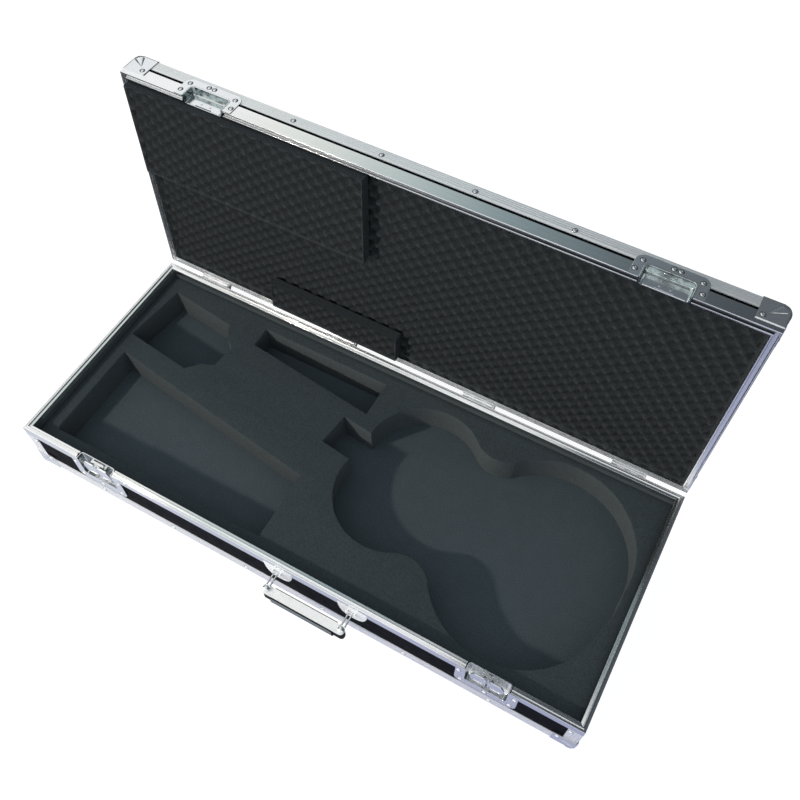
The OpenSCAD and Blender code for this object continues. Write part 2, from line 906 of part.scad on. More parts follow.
// Spindle: a disc with four lugs that hold the two wing pins, on a shaft through the hook
module latch_spindle(x) {
  lug_end = wing_lug_z + wing_lug;
  color(silver) translate([x, -half_depth, spindle_z]) {
    translate([0, disc_front, 0])
      rotate([-90, 0, 0]) cylinder(r = disc_r, h = disc_back - disc_front);
    translate([-knuckle_r - wing_axis_x, disc_front, -lug_end])
      cube([2 * (knuckle_r + wing_axis_x), disc_back - disc_front, 2 * lug_end]);
    for (s = [-1, 1])
      for (e = [-1, 1])
        translate([e * wing_axis_x, wing_y, s * (lug_end - wing_lug / 2) - wing_lug / 2]) {
          translate([-knuckle_r, 0, 0]) cube([2 * knuckle_r, disc_back - wing_y, wing_lug]);
          cylinder(r = knuckle_r, h = wing_lug);
        }
    for (e = [-1, 1])
      translate([e * wing_axis_x, wing_y, -lug_end]) cylinder(r = wing_pin_r, h = 2 * lug_end);
    translate([0, disc_back - 0.5, 0])
      rotate([-90, 0, 0]) cylinder(r = shaft_r, h = dish_back - disc_back + 0.5);
  }
}

module latch_spindle_left() { latch_spindle(-latch_x); }
module latch_spindle_right() { latch_spindle(latch_x); }

// The part of a round plate that one wing takes up, from front to back in Y
module wing_segment(front, thick, hole) {
  intersection() {
    translate([0, front, 0])
      rotate([-90, 0, 0])
        difference() {
          cylinder(r = wing_reach, h = thick, $fn = 96);
          if (hole > 0) translate([0, 0, -more]) cylinder(r = hole, h = thick + 2 * more, $fn = 96);
        }
    translate([wing_start, 0, -wing_height / 2]) cube([wing_reach, recess_depth, wing_height]);
  }
}

// A wing folded flat into the dish, on the left (s = -1) or the right (s = 1) of the spindle
module wing(x, s) {
  tube = 2 * wing_lug_z - 0.6;
  color(silver) translate([x, -half_depth, spindle_z])
    mirror([s < 0 ? 1 : 0, 0, 0])
      difference() {
        union() {
          wing_segment(wing_y - wing_plate / 2, wing_plate, 0);
          wing_segment(wing_y - knuckle_r, knuckle_r, wing_reach - wing_rim);
          translate([wing_axis_x, wing_y - wing_plate / 2, -tube / 2])
            cube([knuckle_r + 0.6, wing_plate, tube]);
          translate([wing_axis_x, wing_y, -tube / 2]) cylinder(r = knuckle_r, h = tube);
        }
        translate([wing_axis_x, wing_y, -tube]) cylinder(r = wing_pin_r + pin_clearance, h = 2 * tube);
      }
}

module wing_left_of_left() { wing(-latch_x, -1); }
module wing_right_of_left() { wing(-latch_x, 1); }
module wing_left_of_right() { wing(latch_x, -1); }
module wing_right_of_right() { wing(latch_x, 1); }

// The hook plate slides up behind the disc, and its nose reaches over the keeper's lip
module latch_hook(x) {
  color(silver) translate([x, -half_depth, 0])
    difference() {
      union() {
        translate([-hook_width / 2, hook_front, hook_bottom])
          cube([hook_width, hook_back - hook_front, hook_top - hook_bottom]);
        translate([-lip_half + 2, hook_front, hook_top - hook_nose])
          cube([2 * lip_half - 4, hook_back - hook_front + nose_reach, hook_nose]);
      }
      for (z = [0, -hook_travel])
        translate([0, hook_front - more, spindle_z + z])
          rotate([-90, 0, 0]) cylinder(r = slot_r, h = hook_back - hook_front + 2 * more);
      translate([-slot_r, hook_front - more, spindle_z - hook_travel])
        cube([2 * slot_r, hook_back - hook_front + 2 * more, hook_travel]);
    }
}

module latch_hook_left() { latch_hook(-latch_x); }
module latch_hook_right() { latch_hook(latch_x); }

module keeper_dish(x) {
  color(steel) opened() translate([x, -half_depth, rim_z + rim_gap])
    mirror([0, 0, 1]) dish(keeper_height, keeper_flange_h, keeper_flange_h - keeper_taper, flange_taper);
}

module keeper_dish_left() { keeper_dish(-latch_x); }
module keeper_dish_right() { keeper_dish(latch_x); }

// The catch plate on the keeper's back wall, with the lip that the hook reaches over
module keeper_catch(x) {
  color(silver) opened() translate([x, -half_depth, rim_z]) {
    translate([-catch_half, catch_front, catch_low])
      cube([2 * catch_half, catch_plate, catch_high - catch_low]);
    translate([-lip_half, catch_front - lip_reach, catch_low])
      cube([2 * lip_half, lip_reach + catch_plate / 2, lip_height]);
    for (s = [-1, 1])
      translate([s * 8, catch_front, catch_low + 8]) rotate([90, 0, 0]) cylinder(r = 2, h = 0.8);
  }
}

module keeper_catch_left() { keeper_catch(-latch_x); }
module keeper_catch_right() { keeper_catch(latch_x); }

// Handle
MOUNTS = [-mount_span / 2, mount_span / 2];

module mount_plan(scale_by) {
  a = mount_width / 2 * scale_by;
  b = mount_height * scale_by;
  polygon([for (q = [180 : 6 : 360]) [a * cos(q), b * sin(q)]]);
}

module handle_mounts() {
  color(silver) for (x = MOUNTS)
    translate([handle_x + x, -half_depth, 0])
      difference() {
        union() {
          translate([0, wall, mount_top - rim_gap])
            rotate([90, 0, 0]) {
              linear_extrude(height = wall) mount_plan(1);
              linear_extrude(height = wall + 1) mount_plan(mount_boss);
            }
          for (s = [-1, 1])
            translate([s * (lug_gap + lug / 2) - lug / 2, 0, swing_z]) {
              translate([0, -swing_out, -lug_r]) cube([lug, swing_out, 2 * lug_r]);
              translate([0, -swing_out, 0]) rotate([0, 90, 0]) cylinder(r = lug_r, h = lug);
            }
          translate([-lug_gap - lug, -wall, swing_z - lug_r])
            cube([2 * (lug_gap + lug), wall, 2 * lug_r]);
        }
        translate([-2 * lug_gap, -swing_out, swing_z])
          rotate([0, 90, 0]) cylinder(r = arm_r + pin_clearance, h = 4 * lug_gap);
      }
}

// Each arm is a wire ring: a cross bar in the lugs and two rods to a boss on the grip
module handle_arms() {
  bar = lug_gap + lug + 1;
  color(silver) for (x = MOUNTS)
    translate([handle_x + x, -half_depth, swing_z]) {
      translate([-bar, -swing_out, 0]) rotate([0, 90, 0]) cylinder(r = arm_r, h = 2 * bar);
      for (s = [-1, 1])
        translate([s * arm_gap, -swing_out, 0])
          rotate([90, 0, 0]) cylinder(r = arm_r, h = boss_out - swing_out);
      translate([0, -boss_out, -arm_r - 0.2]) cylinder(r = boss_r, h = 2 * arm_r + 0.4);
      intersection() {
        translate([0, -boss_out, arm_r + 0.2 - boss_r]) sphere(r = 1.45 * boss_r);
        translate([0, -boss_out, arm_r + 0.2]) cylinder(r = boss_r, h = boss_r);
      }
    }
}

module grip_plan(length, width, r) {
  translate([-length / 2 + r, -width / 2]) square([length - 2 * r, width]);
  translate([-length / 2, -width / 2 + r]) square([length, width - 2 * r]);
  for (sx = [-1, 1])
    for (sy = [-1, 1])
      translate([sx * (length / 2 - r), sy * (width / 2 - r)]) circle(r = r);
}

module handle_grip() {
  pitch = (grip_width - 4) / grip_ribs;
  color(silver) translate([handle_x, -half_depth - grip_out, grip_z - grip_top])
    difference() {
      linear_extrude(height = grip_top) grip_plan(grip_length, grip_width, grip_corner);
      for (i = [0 : grip_ribs])
        translate([-grip_length / 2 - more, -grip_width / 2 + 2 + i * pitch - 0.4, grip_top - 0.6])
          cube([grip_length + 2 * more, 0.8, more]);
    }
}

module pad_side(half) {
  translate([-half, pad_round - grip_rubber]) square([2 * half, grip_rubber - pad_round]);
  translate([pad_round - half, -grip_rubber]) square([2 * (half - pad_round), grip_rubber]);
  for (s = [-1, 1])
    translate([s * (half - pad_round), pad_round - grip_rubber]) circle(r = pad_round);
}

module pad_bar(length, half) {
  translate([-length / 2, 0, 0]) rotate([90, 0, 90])
    linear_extrude(height = length) pad_side(half);
}

module trim_bar(proud) {
  translate([-trim_length / 2, -pad_half - block_out - proud, -trim_top - trim_height])
    cube([trim_length, trim_let_in + proud, trim_height]);
}

module handle_rubber() {
  length = grip_length - 2 * pad_inset;
  color(rubber_black) translate([handle_x, -half_depth - grip_out, grip_z - grip_top])
    difference() {
      union() {
        intersection() {
          pad_bar(length, pad_half);
          translate([0, 0, -grip_rubber - more])
            linear_extrude(height = grip_rubber + more)
              grip_plan(length, 2 * pad_half, grip_corner);
        }
        pad_bar(block_length, pad_half + block_out);
      }
      trim_bar(more);
    }
}

module handle_trim() {
  color(steel) translate([handle_x, -half_depth - grip_out, grip_z - grip_top])
    trim_bar(trim_proud);
}

bottom_board();
front_board();
back_board();
left_board();
right_board();
lid_top_board();
lid_front_board();
lid_back_board();
lid_left_board();
lid_right_board();
front_rim();
back_rim();
left_rim();
right_rim();
lid_front_rim();
lid_back_rim();
lid_left_rim();
lid_right_rim();
front_bottom_edge();
back_bottom_edge();
left_bottom_edge();
right_bottom_edge();
lid_front_edge();
lid_back_edge();
lid_left_edge();
lid_right_edge();
corner_uprights();
base_ball_corners();
lid_ball_corners();
base_rivets();
lid_rivets();
foam_floor();
foam_insert();
lid_foam_sheet();
lid_block_neck();
lid_block_slot();
hinge_base_leaves();
hinge_lid_leaves();
hinge_pins();
latch_dish_left();
latch_dish_right();
latch_spindle_left();
latch_spindle_right();
wing_left_of_left();
wing_right_of_left();
wing_left_of_right();
wing_right_of_right();
latch_hook_left();
latch_hook_right();
keeper_dish_left();
keeper_dish_right();
keeper_catch_left();
keeper_catch_right();
handle_mounts();
handle_arms();
handle_grip();
handle_rubber();
handle_trim();
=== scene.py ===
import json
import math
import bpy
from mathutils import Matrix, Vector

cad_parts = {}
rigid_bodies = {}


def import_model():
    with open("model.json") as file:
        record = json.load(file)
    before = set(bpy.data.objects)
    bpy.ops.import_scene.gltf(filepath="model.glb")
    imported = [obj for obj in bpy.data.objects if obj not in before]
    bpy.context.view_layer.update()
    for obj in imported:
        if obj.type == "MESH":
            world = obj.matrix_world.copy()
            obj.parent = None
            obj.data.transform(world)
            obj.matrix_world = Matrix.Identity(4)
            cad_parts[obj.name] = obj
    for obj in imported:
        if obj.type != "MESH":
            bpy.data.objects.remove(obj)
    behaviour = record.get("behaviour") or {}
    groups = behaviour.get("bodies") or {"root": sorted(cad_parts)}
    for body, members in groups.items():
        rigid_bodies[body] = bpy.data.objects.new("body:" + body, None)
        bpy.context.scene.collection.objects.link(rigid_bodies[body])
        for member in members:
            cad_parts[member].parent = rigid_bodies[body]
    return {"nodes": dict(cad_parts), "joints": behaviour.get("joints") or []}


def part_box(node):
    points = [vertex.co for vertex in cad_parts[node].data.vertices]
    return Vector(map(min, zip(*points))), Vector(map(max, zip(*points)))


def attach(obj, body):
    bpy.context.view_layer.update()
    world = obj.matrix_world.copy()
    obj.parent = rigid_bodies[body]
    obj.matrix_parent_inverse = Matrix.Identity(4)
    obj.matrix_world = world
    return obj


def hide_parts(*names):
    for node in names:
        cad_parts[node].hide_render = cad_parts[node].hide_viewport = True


bl_info = {
    "name": "Open guitar case",
    "version": (1, 0, 0),
    "blender": (4, 5, 0),
    "location": "3D View > Sidebar > Guitar case",
    "description": "Dresses the packed model of a classical guitar case that stands open",
    "category": "Object",
}

import bmesh
import bpy
import numpy as np
from bpy.props import FloatProperty, FloatVectorProperty, PointerProperty
from mathutils import Matrix
from mathutils.geometry import tessellate_polygon

for leftover in list(bpy.data.objects):
    bpy.data.objects.remove(leftover)

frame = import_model()
MM = 0.001


def cad_box(node):
    """Lowest and highest corner of a CAD node, in millimetres."""
    low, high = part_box(node)
    return np.array(low) / MM, np.array(high) / MM


def joint(name):
    """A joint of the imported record, by its name."""
    return next(j for j in frame["joints"] if j["name"] == name)


# Sizes of the case in millimetres. The frame gives those that its boxes and joints tell, and the
# others are set here
HALF_LENGTH = cad_box("front_rim")[1][0]
HALF_DEPTH = cad_box("left_rim")[1][1]
TONGUE = 3.0
RIM_Z = cad_box("left_rim")[1][2] - TONGUE
PIVOT_Y, PIVOT_Z = np.array(joint("lid_hinge")["pos_m"])[1:] / MM
LID_ANGLE = math.radians(joint("lid_hinge")["range_deg"][1])
LID_HEIGHT = 50.0
LID_TOP_Z = RIM_Z + LID_HEIGHT
WALL = 1.5
BOARD = 9.0
RIM_WIDTH = 2 * WALL + BOARD
# With the lid shut, its rim stands this far above the base's, and its groove takes the tongue
RIM_GAP = 0.3
GROOVE_NEAR, GROOVE_FAR, GROOVE_DEPTH = 2.7, 8.8, 4.3
# The grooves in the faces of the edge extrusions, measured from the outer corner. They are round, and a
# little wider and deeper than the solids' square ones
RIB_START, RIB_PITCH, RIB_DEPTH, RIB_HALF = 4.7, 4.0, 0.5, 1.0
BOTTOM_LEG, LID_LEG, UPRIGHT_LEG = 29.5, 21.0, 23.5
UPRIGHT_Z = (29.8, 93.7)
# The ball corners cover the ends of the edge extrusions to here
BALL_COVER = 14.5
LATCH_X = 380.0
# The rims are cut for each latch to this far on both sides of its middle, and the reveal more
CUT_HALF = 37.7
REVEAL = 1.0
LATCH_NOTCH = 2.7
WING_LOW, WING_HIGH = cad_box("wing_left_of_left")
WING_FRONT = WING_LOW[1]
SPINDLE_Z = (WING_LOW[2] + WING_HIGH[2]) / 2
# The pressed dishes: half width, height from the seam, and radius of the lower or upper corners
LATCH_FLANGE, LATCH_RECESS = (53.5, 75.0, 15.0), (36.0, 53.0, 6.0)
KEEPER_FLANGE, KEEPER_RECESS = (53.5, 42.0, 14.0), (36.0, 26.0, 6.0)
# The two rivets on a keeper recess's upper wall: out from its middle, behind the face, radius and height
KEEPER_RIVET_OUT, KEEPER_RIVET_Y, KEEPER_RIVET = 8.0, 5.0, (2.2, 1.0)
# With the lid shut, its foam stays this far above the base's rim over the keeper dishes
FOAM_OVER_KEEPER = 28.5
# The rails that guide a hook: out from the latch's middle, half their width, behind the face, and up
RAIL_OUT, RAIL_HALF, RAIL_Y, RAIL_Z = 14.8, 1.5, (6.5, 12.5), (77, 104)
# Half the width of a handle mount's face, its drop from the straight edge at the top, and how far
# that edge lies below the rim
MOUNT_HALF, MOUNT_DROP, MOUNT_BELOW_RIM = 27.0, 46.0, 10.0
# The boards' faces count as lined from here on, a little outside their inner faces
LINING = WALL + BOARD - 0.3
RIVET_SIDES = 14
# Points of a CAD mesh that are closer than this, in metres, are one
WELD = 2e-6


def linear(colour):
    """An sRGB hex colour as linear RGBA: each channel c becomes c / 12.92 or ((c + 0.055) / 1.055) ^ 2.4."""
    c = np.array([int(colour[i : i + 2], 16) for i in (1, 3, 5)]) / 255
    c = np.where(c <= 0.04045, c / 12.92, ((c + 0.055) / 1.055) ** 2.4)
    return (*c.tolist(), 1.0)


def colour_property(name, description, default):
    """A colour that the panel shows, given as an sRGB hex colour."""
    return FloatVectorProperty(
        name=name, description=description, default=linear(default), size=4, subtype="COLOR",
        min=0.0, max=1.0,
    )


def length_property(name, description, default):
    """A length that the panel shows, given in millimetres."""
    return FloatProperty(
        name=name, description=description, default=default * MM, min=0.0, unit="LENGTH",
        subtype="DISTANCE", precision=4,
    )


class CaseSizes(bpy.types.PropertyGroup):
    """Sizes that only the looks use."""

    edge_round: length_property("Edge rounding", "Rounding along the edges of the extrusions", 0.5)
    steel_round: length_property("Steel rounding", "Rounding along the edges of the hardware", 0.3)
    foam_lip: length_property("Foam lip", "Rounding along the cut edges of the foam", 1.4)
    egg_depth: length_property("Bump depth", "Depth of the bumps on the lid's foam", 8.0)
    key_size: length_property("Key lamp size", "Side of the key lamp", 50.0)
    key_power: FloatProperty(name="Key lamp power", description="Power of the key lamp", default=6.0,
                             min=0.0, unit="POWER")
    ambient: FloatProperty(name="Ambient light", description="Strength of the plain room light",
                           default=0.72, min=0.0, max=1.0)


class CaseColours(bpy.types.PropertyGroup):
    """Colours of the case's finishes."""

    aluminium: colour_property("Aluminium", "Satin edge extrusions", "#f8fafb")
    bright: colour_property("Bright aluminium", "Bright rims", "#f6f8f9")
    steel: colour_property("Steel", "Zinc-plated corners and latches", "#f0f3f6")
    # Painted shade: the recesses' steel is drawn darker than the steel outside
    recess: colour_property("Recess steel", "Duller steel in the latch and keeper recesses", "#aab6b6")
    laminate: colour_property("Laminate", "Black laminate on the boards", "#050608")
    foam_base: colour_property("Base foam", "Blue-grey foam in the base", "#333c40")
    # Painted light: the pocket walls' foam is paler than the top's, for the light that falls on them
    foam_wall: colour_property("Pocket walls", "Blue-grey foam where the pockets are cut", "#444c50")
    # Partly painted light: the floor foam is paler, partly in its own colour and partly to make up for the
    # shade in the pockets
    foam_floor: colour_property("Floor foam", "Blue-grey foam under the cut-outs", "#3f4a50")
    foam_lid: colour_property("Lid foam", "Charcoal foam in the lid", "#2d3235")
    rubber: colour_property("Rubber", "Rubber under the grip", "#0c0c0d")
    strip: colour_property("Strip", "Grey strip in the grip's rubber", "#5a6666")
    # Painted light and shade: the groove's colour runs from the first of these at the left to the second at
    # the right
    groove: colour_property("Groove, left", "Lid rim's groove where much light gets in", "#dfe3e6")
    groove_painted_shade: colour_property("Groove, right", "Lid rim's groove where little does", "#4e5459")
    # Painted shadow: the near-black ring round each rivet head
    rivet_shadow: colour_property("Grime", "Oil and dust in the seam round each rivet head", "#25292c")
    floor: colour_property("Floor", "Plain floor", "#ffffff")
    floor_card: colour_property("Floor card, left", "What upright metal mirrors at the left", "#d2d6e2")
    floor_card_far: colour_property("Floor card, right", "What upright metal mirrors at the right", "#a3a7c4")
    surround: colour_property("Surround", "Dark cloth round the case, seen only in the metal", "#363b3f")


def sizes():
    """The looks' sizes, as the panel has them."""
    return bpy.context.scene.case_sizes


def colours():
    """The finishes' colours, as the panel has them."""
    return bpy.context.scene.case_colours


# Materials

def node(tree, kind, inputs=None, **settings):
    """Adds a node, sets its settings, and gives its inputs values, sockets or nodes' first outputs."""
    made = tree.nodes.new(kind)
    for key, value in settings.items():
        setattr(made, key, value)
    for key, value in (inputs or {}).items():
        if isinstance(value, bpy.types.Node):
            value = value.outputs[0]
        if isinstance(value, bpy.types.NodeSocket):
            tree.links.new(value, made.inputs[key])
        else:
            made.inputs[key].default_value = value
    return made


def material(name, build):
    """A material by its name, whose nodes build(tree) makes once and returns as the shader."""
    if name in bpy.data.materials:
        return bpy.data.materials[name]
    made = bpy.data.materials.new(name)
    made.use_nodes = True
    made.node_tree.nodes.clear()
    node(made.node_tree, "ShaderNodeOutputMaterial", {"Surface": build(made.node_tree)})
    return made


def shade(colour, factor):
    """A colour made darker or lighter by a factor."""
    return (*[min(1.0, c * factor) for c in list(colour)[:3]], 1.0)


def tinted(tree, pattern, dark, pale, low=0.3, high=0.7):
    """A colour that goes from dark to pale while a pattern goes from low to high."""
    share = node(tree, "ShaderNodeMapRange", {"Value": pattern, "From Min": low, "From Max": high})
    return node(tree, "ShaderNodeMix", {0: share, 6: dark, 7: pale}, data_type="RGBA").outputs[2]


def along_attribute(tree):
    """The piece's own attribute, in metres: the places along, across and round an extrusion, and on the
    lid's foam how deep a point lies."""
    made = node(tree, "ShaderNodeAttribute", attribute_name="along", attribute_type="GEOMETRY")
    return made.outputs["Vector"]


def die_lines(tree, run):
    """An extrusion's places drawn out along its length, and the die's lines in it, about 0.4 mm apart."""
    stretched = node(tree, "ShaderNodeMapping", {"Vector": run, "Scale": (0.004, 1.0, 1.0)})
    return stretched, node(tree, "ShaderNodeTexNoise", {"Vector": stretched, "Scale": 2400.0, "Detail": 3.0})


def aluminium_nodes(tree, colour, metallic, low, high, bump, groove=0.0):
    """Extruded aluminium read along its length: fine die lines in the roughness and the bump,
    broader bands in the tint, and grooves drawn darker: painted shade, since they hold less light, and some
    soiling."""
    run = along_attribute(tree)
    stretched, lines = die_lines(tree, run)
    # Broader bands about 2 mm apart, and handling marks about 30 mm long
    bands = node(tree, "ShaderNodeTexNoise", {"Vector": stretched, "Scale": 480.0, "Detail": 1.0})
    place = node(tree, "ShaderNodeTexCoord").outputs["Object"]
    wear = node(tree, "ShaderNodeTexNoise", {"Vector": place, "Scale": 35.0, "Detail": 3.0})
    streaks = node(tree, "ShaderNodeMapRange",
                   {"Value": lines, "From Min": 0.3, "From Max": 0.7, "To Min": low, "To Max": high})
    marks = node(tree, "ShaderNodeMapRange",
                 {"Value": wear, "From Min": 0.3, "From Max": 0.7, "To Min": 0.0, "To Max": 0.04})
    rough = node(tree, "ShaderNodeMath", {0: streaks, 1: marks}, operation="ADD")
    tint = tinted(tree, bands, shade(colour, 0.93), colour)
    # Painted shade and some soiling: each groove's colour is drawn darker towards its middle
    if groove:
        across = node(tree, "ShaderNodeSeparateXYZ", {0: run}).outputs["Z"]
        way = node(tree, "ShaderNodeMath", {0: across, 1: -RIB_START * MM}, operation="ADD")
        angle = node(tree, "ShaderNodeMath", {0: way, 1: 2 * math.pi / (RIB_PITCH * MM)},
                     operation="MULTIPLY")
        wave = node(tree, "ShaderNodeMath", {0: angle}, operation="COSINE")
        shade_and_dirt = node(tree, "ShaderNodeMapRange", {"Value": wave, "From Min": 0.0, "To Max": groove})
        shaded_and_soiled = node(tree, "ShaderNodeMix", {0: shade_and_dirt, 6: tint, 7: shade(colour, 0.2)}, data_type="RGBA")
        tint = shaded_and_soiled.outputs[2]
    relief = node(tree, "ShaderNodeBump", {"Height": lines, "Distance": 0.00004, "Strength": bump})
    return node(tree, "ShaderNodeBsdfPrincipled",
                {"Base Color": tint, "Metallic": metallic, "Roughness": rough, "Normal": relief})


def anodised_aluminium():
    """Extruded aluminium, etched and anodised natural: a whitish satin metal, because the etched
    face scatters part of the light, with fine streaks where the die left its lines."""
    return material("satin anodised aluminium",
                    lambda tree: aluminium_nodes(tree, colours().aluminium, 0.62, 0.24, 0.34, 0.3, 0.16))


def bright_aluminium():
    """Extruded aluminium, bright dipped before it is anodised: sharper reflections than the
    satin extrusions, still with a trace of the die's lines."""
    return material("bright anodised aluminium",
                    lambda tree: aluminium_nodes(tree, colours().bright, 1.0, 0.12, 0.17, 0.08))


def etched_groove_painted_shade():
    """The bottom of the lid rim's groove, where the bright dip doesn't reach: dull, and with painted shade,
    pale at the left and dark at the right, where the open side of the groove is turned away from the light."""
    def build(tree):
        lines = die_lines(tree, along_attribute(tree))[1]
        place = node(tree, "ShaderNodeTexCoord").outputs["Object"]
        x = node(tree, "ShaderNodeSeparateXYZ", {0: place})
        # Painted shade: pale at the left, dark at the right
        tint = tinted(tree, x, colours().groove, colours().groove_painted_shade, -0.45, 0.2)
        rough = node(tree, "ShaderNodeMapRange",
                     {"Value": lines, "From Min": 0.3, "From Max": 0.7, "To Min": 0.35, "To Max": 0.5})
        relief = node(tree, "ShaderNodeBump", {"Height": lines, "Distance": 0.00004, "Strength": 0.2})
        return node(tree, "ShaderNodeBsdfPrincipled",
                    {"Base Color": tint, "Metallic": 0.6, "Roughness": rough, "Normal": relief})
    return material("etched aluminium groove, painted shade", build)


def rivet_painted_shadow():
    """Painted shadow in the seam round a rivet head: almost black, dull and grainy."""
    def build(tree):
        place = node(tree, "ShaderNodeTexCoord").outputs["Object"]
        dust = node(tree, "ShaderNodeTexNoise", {"Vector": place, "Scale": 2500.0, "Detail": 2.0})
        # Painted shadow: the seam's colour is near black, with a fine grain
        tint = tinted(tree, dust, shade(colours().rivet_shadow, 0.6), shade(colours().rivet_shadow, 1.6), 0.35, 0.65)
        return node(tree, "ShaderNodeBsdfPrincipled",
                    {"Base Color": tint, "Roughness": 0.7, "Specular IOR Level": 0.1})
    return material("painted shadow round rivet heads", build)


def ribbed_aluminium():
    """The grip's extruded cover: satin, with ribs 2.4 mm apart along it that catch a line of light each."""
    def build(tree):
        place = node(tree, "ShaderNodeTexCoord").outputs["Object"]
        across = node(tree, "ShaderNodeSeparateXYZ", {0: place}).outputs["Y"]
        angle = node(tree, "ShaderNodeMath", {0: across, 1: 2 * math.pi / 0.0024}, operation="MULTIPLY")
        ribs = node(tree, "ShaderNodeMath", {0: angle}, operation="SINE")
        wear = node(tree, "ShaderNodeTexNoise", {"Vector": place, "Scale": 90.0, "Detail": 4.0})
        rough = node(tree, "ShaderNodeMapRange",
                     {"Value": wear, "From Min": 0.3, "From Max": 0.7, "To Min": 0.26, "To Max": 0.36})
        # Painted shade: the hollows between the ribs are drawn darker than the ribs' tops
        tint = tinted(tree, ribs, shade(colours().aluminium, 0.85), colours().aluminium, -1.0, -0.2)
        relief = node(tree, "ShaderNodeBump", {"Height": ribs, "Distance": 0.0001, "Strength": 0.5})
        return node(tree, "ShaderNodeBsdfPrincipled",
                    {"Base Color": tint, "Metallic": 0.1, "Roughness": rough, "Normal": relief})
    return material("ribbed anodised aluminium", build)


def plated_steel():
    """Pressed steel sheet, bright zinc plated: a sharp reflection that wavers slightly where
    the sheet was drawn, with a faint cloud in the plating."""
    def build(tree):
        place = node(tree, "ShaderNodeTexCoord").outputs["Object"]
        # The draw leaves waves about 12 mm long; the plating clouds over about 4 mm
        wave = node(tree, "ShaderNodeTexNoise", {"Vector": place, "Scale": 80.0, "Detail": 1.0})
        cloud = node(tree, "ShaderNodeTexNoise", {"Vector": place, "Scale": 250.0, "Detail": 3.0})
        relief = node(tree, "ShaderNodeBump", {"Height": wave, "Distance": 0.0003, "Strength": 0.1})
        tint = tinted(tree, cloud, shade(colours().steel, 0.94), colours().steel)
        rough = node(tree, "ShaderNodeMapRange",
                     {"Value": cloud, "From Min": 0.3, "From Max": 0.7, "To Min": 0.14, "To Max": 0.2})
        return node(tree, "ShaderNodeBsdfPrincipled",
                    {"Base Color": tint, "Metallic": 0.9, "Roughness": rough, "Normal": relief})
    return material("zinc-plated pressed steel", build)


def shaded_recess_steel(name="plated steel with painted recess shade", factor=1.0):
    """The pressed walls of the latch and keeper recesses: plated steel drawn darker as painted shade, and
    mottled in patches, with a sharp reflection still."""
    def build(tree):
        place = node(tree, "ShaderNodeTexCoord").outputs["Object"]
        mottle = node(tree, "ShaderNodeTexNoise", {"Vector": place, "Scale": 110.0, "Detail": 3.0})
        darker_mottle, paler_mottle = (shade(colours().recess, share * factor) for share in (0.4, 1.3))
        # Painted shade: the recess colour is darker than the steel's, and mottled
        tint = tinted(tree, mottle, darker_mottle, paler_mottle, 0.35, 0.65)
        rough = node(tree, "ShaderNodeMapRange",
                     {"Value": mottle, "From Min": 0.3, "From Max": 0.7, "To Min": 0.08, "To Max": 0.16})
        return node(tree, "ShaderNodeBsdfPrincipled",
                    {"Base Color": tint, "Metallic": 1.0, "Roughness": rough})
    return material(name, build)


def deeper_shaded_recess_steel():
    """The latch recess behind the moving parts: the same plated steel with deeper painted shade."""
    return shaded_recess_steel("plated steel with deeper painted recess shade", 0.7)


def satin_nickel():
    """Pressed steel, nickel plated over a blasted face: bright and soft, almost white."""
    def build(tree):
        place = node(tree, "ShaderNodeTexCoord").outputs["Object"]
        grain = node(tree, "ShaderNodeTexNoise", {"Vector": place, "Scale": 1600.0, "Detail": 2.0})
        rough = node(tree, "ShaderNodeMapRange",
                     {"Value": grain, "From Min": 0.3, "From Max": 0.7, "To Min": 0.3, "To Max": 0.4})
        tint = tinted(tree, grain, shade(colours().steel, 1.0), shade(colours().steel, 1.1))
        return node(tree, "ShaderNodeBsdfPrincipled",
                    {"Base Color": tint, "Metallic": 0.12, "Roughness": rough})
    return material("satin nickel-plated steel", build)


def drawn_steel():
    """Steel tube and strip, drawn and zinc plated with a satin face: it mirrors softly and evenly,
    with faint lines along the draw."""
    def build(tree):
        place = node(tree, "ShaderNodeTexCoord").outputs["Object"]
        stretched = node(tree, "ShaderNodeMapping", {"Vector": place, "Scale": (0.02, 1.0, 1.0)})
        lines = node(tree, "ShaderNodeTexNoise", {"Vector": stretched, "Scale": 900.0, "Detail": 2.0})
        rough = node(tree, "ShaderNodeMapRange",
                     {"Value": lines, "From Min": 0.3, "From Max": 0.7, "To Min": 0.24, "To Max": 0.32})
        tint = tinted(tree, lines, shade(colours().steel, 0.92), colours().steel)
        return node(tree, "ShaderNodeBsdfPrincipled",
                    {"Base Color": tint, "Metallic": 0.9, "Roughness": rough})
    return material("drawn zinc-plated steel", build)


def laminate_nodes(tree):
    """Pebbles about 1 mm across that break up what the laminate mirrors, and a thin haze of dust."""
    place = node(tree, "ShaderNodeTexCoord").outputs["Object"]
    pebble = node(tree, "ShaderNodeTexVoronoi", {"Vector": place, "Scale": 900.0}, feature="SMOOTH_F1")
    dust = node(tree, "ShaderNodeTexNoise", {"Vector": place, "Scale": 60.0, "Detail": 4.0})
    relief = node(tree, "ShaderNodeBump", {"Height": pebble, "Distance": 0.00025, "Strength": 0.5})
    film = tinted(tree, dust, shade(colours().laminate, 0.7), shade(colours().laminate, 2.0))
    # The pebbles' tops, where the pattern is low, are drawn a little paler than the valleys between them
    tops = node(tree, "ShaderNodeMapRange",
                {"Value": pebble, "From Min": 0.1, "From Max": 0.6, "To Min": 1.0, "To Max": 0.0})
    tint = node(tree, "ShaderNodeMix", {0: tops, 6: film, 7: shade(colours().laminate, 3.0)},
                data_type="RGBA")
    rough = node(tree, "ShaderNodeMapRange",
                 {"Value": dust, "From Min": 0.3, "From Max": 0.7, "To Min": 0.42, "To Max": 0.55})
    return node(tree, "ShaderNodeBsdfPrincipled",
                {"Base Color": tint.outputs[2], "Roughness": rough, "Normal": relief,
                 "Specular IOR Level": 0.015})


def black_laminate():
    """High-pressure laminate, pressed with a pebbled plate: near black with hardly any sheen."""
    return material("pebbled black laminate", laminate_nodes)


